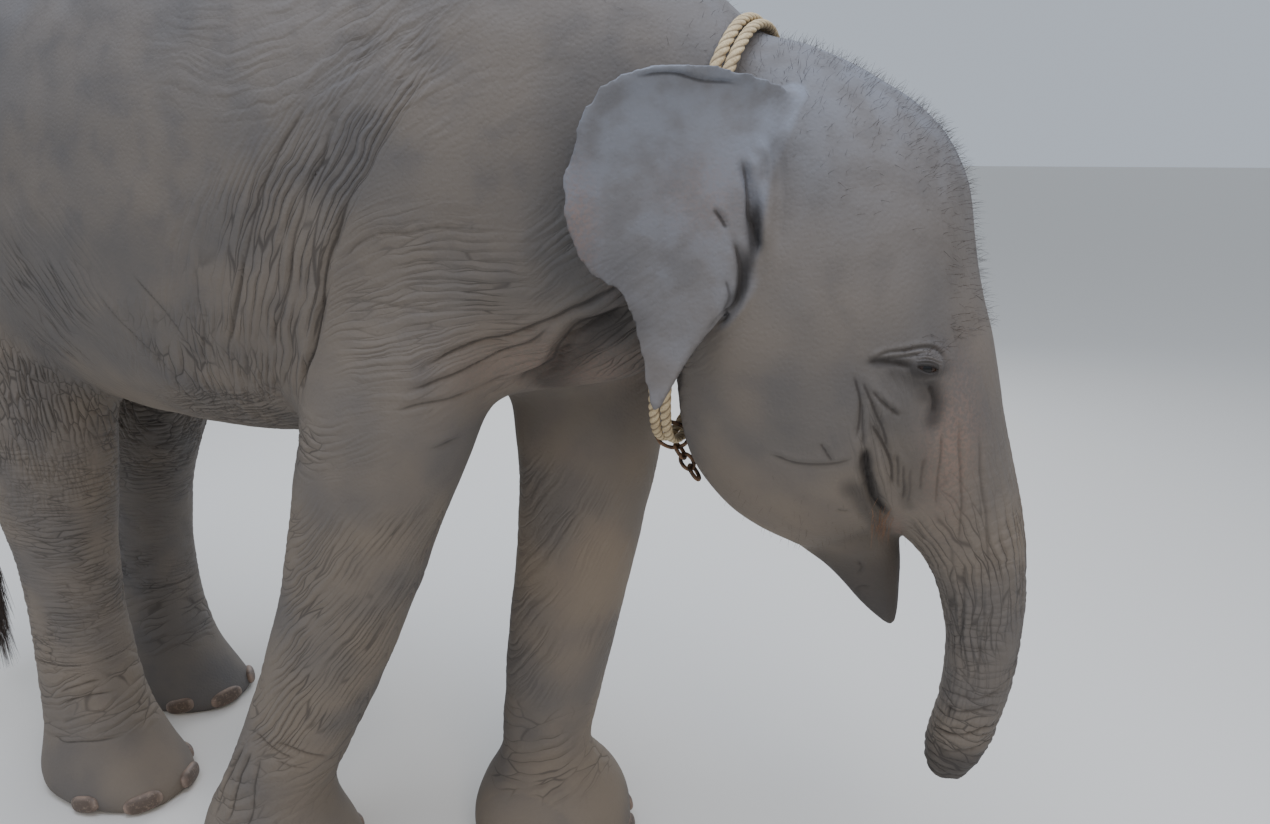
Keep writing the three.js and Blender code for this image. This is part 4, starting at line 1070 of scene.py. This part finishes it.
# ---- Hair ----
# Sparse, stiff, dark hairs stand on the crown, brow and back and hang from the chin and lip, and
# a rust-brown tuft hangs at the mouth's corner. Each is a thin tapering spine rooted in the hide.

# Bristle is solid horn, smooth and faintly glossy, and its tone changes from hair to hair.
bristle = {}
for name, scale, first, second in (("coarse_dark_bristle", 60.0, "#241d19", "#4a3a30"),
                                   ("rust_brown_bristle", 80.0, "#5e412f", "#87603f")):
    bristle[name] = material(name)
    tone = put(bristle[name], "TexNoise", {"Scale": scale, "Detail": 2.0}).outputs[0]
    tone = coloured(bristle[name], paint(first), (tone, 0.35, 0.65, 0.0, 1.0, paint(second)))
    finished(bristle[name], {"Base Color": tone, "Roughness": 0.5})
dark_hair, rust_hair = bristle.values()
corners = places(skin_mesh)
normals = outward(skin_mesh)
x, y, z = (corners - source_zero).T
side_y = np.abs(y - sway(x))
PATCH = 0.003  # each hair's patch on the unwrap
HAIR_LEVELS = np.array((0.0, 0.34, 0.68, 1.0))  # shares of a hair's length, and its width at each
HAIR_WIDTHS = np.array((1.0, 0.85, 0.55, 0.12))


def hair_piece(name, roots, aims, lengths, thickness, droop, finish, *nodes):
    """Three-sided tapering spines as one mesh, each with its patch at its root's place on an
    unwrap of the skin."""
    aims = aims / np.linalg.norm(aims, axis=1, keepdims=True)
    fall = np.stack([0 * lengths, 0 * lengths, -droop], 1)
    spine = roots[:, None] + lengths[:, None, None] * (
        HAIR_LEVELS[None, :, None] * aims[:, None]
        + (HAIR_LEVELS ** 2)[None, :, None] * fall[:, None])
    sideways = np.cross(aims, rng.normal(size=aims.shape))
    sideways /= np.linalg.norm(sideways, axis=1, keepdims=True)
    other = np.cross(aims, sideways)
    width = thickness[:, None] * HAIR_WIDTHS
    ring = [sideways * math.cos(a) + other * math.sin(a) for a in (0, 2.094, 4.189)]
    points = spine[:, :, None] + width[..., None, None] * np.stack(ring, 1)[:, None]
    each = 3 * len(HAIR_LEVELS)
    base = np.arange(len(roots))[:, None] * each
    pattern = []
    for level, j in itertools.product(range(len(HAIR_LEVELS) - 1), range(3)):
        k = (j + 1) % 3
        pattern.append((3 * level + j, 3 * level + k, 3 * level + 3 + k, 3 * level + 3 + j))
    quads = (base[:, None] + np.array(pattern)).reshape(-1, 4)
    caps = (base[:, None] + np.array([(2, 1, 0), (9, 10, 11)])).reshape(-1, 3)
    mesh = made_mesh(name, [(points.reshape(-1, 3), quads.tolist() + caps.tolist())])
    shape = roots - source_zero
    u = (shape[:, 0] + 1.0) / 2.5
    v = np.arctan2(shape[:, 1] - sway(shape[:, 0]), shape[:, 2] - 1.0) / (2 * math.pi) + 0.5
    loops = np.empty(len(mesh.loops), np.int32)
    mesh.loops.foreach_get("vertex_index", loops)
    hair_of, corner_of = loops // each, loops % each
    uv = np.stack([u[hair_of] * 0.98 + PATCH * (corner_of % 3) / 2,
                   v[hair_of] * 0.98 + PATCH * (corner_of // 3) / 3], 1)
    mesh.uv_layers.new(name="OFBake").data.foreach_set("uv", uv.astype(np.float32).ravel())
    fitted(name, mesh, finish, "hair", *nodes, smooth=False)


rng = np.random.default_rng(7)
top = ramp(normals[:, 2], 0.1, 0.7)
crown = top * ramp(x, 0.85, 1.05) * (1 - ramp(x, 1.33, 1.36)) * ramp(z, 1.0, 1.2) * (side_y < 0.19)
crown += 0.9 * ramp(normals[:, 0], 0.2, 0.8) * (z > 1.08) * (x > 1.2) * (side_y < 0.13)
crown = crown * (1 - on_ear)
back = top * (x < 0.9) * (x > -0.75) * (z > 1.3) * np.exp(-(side_y / 0.12) ** 2)
chin = about(1.10, 0.80, 0.10, 0.07) * ramp(-normals[:, 2], 0.0, 0.5)
mouth_corner = about(1.207, 0.830, 0.010, 0.030, 0.05)
# Where each kind grows and how many hairs, how far they stand off the skin, their spread and
# lean, the shortest and longest, the thinnest and thickest in metres, their droop and material.
for name, density, count, stand, spread, lean, length, thickness, droop, finish in (
        ("crown_bristles", crown, 1900, 1.0, 0.35, (0.25, 0, 0.1), (0.008, 0.022),
         (0.00014, 0.00026), 0.15, dark_hair),
        ("back_bristles", back, 1100, 1.0, 0.4, (-0.5, 0, 0), (0.010, 0.024),
         (0.00014, 0.00026), 0.2, dark_hair),
        ("chin_bristles", chin, 200, 1.0, 0.35, (0, 0, -0.3), (0.006, 0.014),
         (0.00012, 0.00020), 0.25, dark_hair),
        ("mouth_bristles", mouth_corner, 100, 0.5, 0.2, (-0.35, 0, -0.9), (0.012, 0.034),
         (0.0002, 0.0004), 0.1, rust_hair)):
    spots = rng.choice(len(density), count, replace=False, p=density / density.sum())
    aims = stand * normals[spots] + rng.normal(size=(count, 3)) * spread + lean
    hair_piece(name, corners[spots], aims, rng.uniform(*length, count),
               rng.uniform(*thickness, count), np.full(count, droop), finish)

# ---- Tail tuft ----
# Long black hairs, as stiff as wire, grow in a row along the front and the back of the tail's
# end and hang straight down, some longer than others.

count = 900
drop = rng.uniform(0, 1, count) ** 1.3
level = tuft_high[2] + 0.012 - drop * 0.17
fore = rng.choice((-1, 1), count)
roots = np.stack([tuft_high[0] - 0.014 - 0.027 * drop + fore * rng.uniform(0.002, 0.008, count),
                  tuft_y + rng.normal(size=count) * 0.004, level], 1)
aims = np.stack([0.16 * fore + rng.normal(size=count) * 0.06 - 0.05,
                 rng.normal(size=count) * 0.05, -np.ones(count)], 1)
lengths = np.minimum(rng.uniform(0.06, 0.20, count), level - tuft_low[2] - 0.004)
hair_piece("tail_tuft_hairs", roots, aims, lengths, rng.uniform(0.0006, 0.0011, count),
           np.zeros(count), dark_hair, "tail_tuft")

# ---- Floor and light ----
# A plain pale studio floor under broad soft lamps, with a large bright one overhead and the
# room's own cool light all round.

floor_mesh = bpy.data.meshes.new("studio_floor")
floor_mesh.from_pydata([(-80, -80, 0), (80, -80, 0), (80, 80, 0), (-80, 80, 0)], [], [(0, 1, 2, 3)])
floor = bpy.data.objects.new("studio_floor", floor_mesh)
bpy.context.scene.collection.objects.link(floor)
# Matt paint gives an even pale ground, with only a slow drift of its tone.
pale = material("pale_studio_floor")
drift = put(pale, "TexNoise", {"Scale": 3.0, "Detail": 2.0}).outputs[0]
floor_colour = put(pale, "Mix", {0: drift, 6: paint("#dedad3"), 7: paint("#e3e0da")},
                   data_type="RGBA").outputs[2]
finished(pale, {"Base Color": floor_colour, "Roughness": 0.9})
floor_mesh.materials.append(pale)

world = bpy.data.worlds.new("studio")
bpy.context.scene.world = world
world.use_nodes = True
air = world.node_tree.nodes["Background"]
air.inputs[0].default_value = paint("#d9e3f1")
air.inputs[1].default_value = 0.72

# Each lamp: its place, what it points at, its width in metres, its watts and its colour.
for name, place, target, size, watts, code in (
        ("overhead", (0.6, -0.6, 4.6), (0.2, 0, 1.0), 3.0, 165, "#dfe9fb"),
        ("key", (3.4, -3.6, 3.4), (0.4, 0, 0.9), 2.0, 74, "#fff2e4"),
        ("fill", (-3.8, -3.0, 2.2), (-0.2, 0, 0.8), 2.6, 25, "#f3f3f6"),
        ("back", (-1.0, 4.0, 2.8), (0.2, 0, 1.0), 2.8, 80, "#eef2f8")):
    light = bpy.data.lights.new(name, "AREA")
    light.size = size
    light.energy = watts
    light.color = paint(code)[:3]
    lamp = bpy.data.objects.new(name, light)
    lamp.location = place
    direction = np.array(place, float) - np.array(target, float)
    lamp.rotation_euler = (0, math.acos(direction[2] / np.linalg.norm(direction)),
                           math.atan2(direction[1], direction[0]))
    bpy.context.scene.collection.objects.link(lamp)
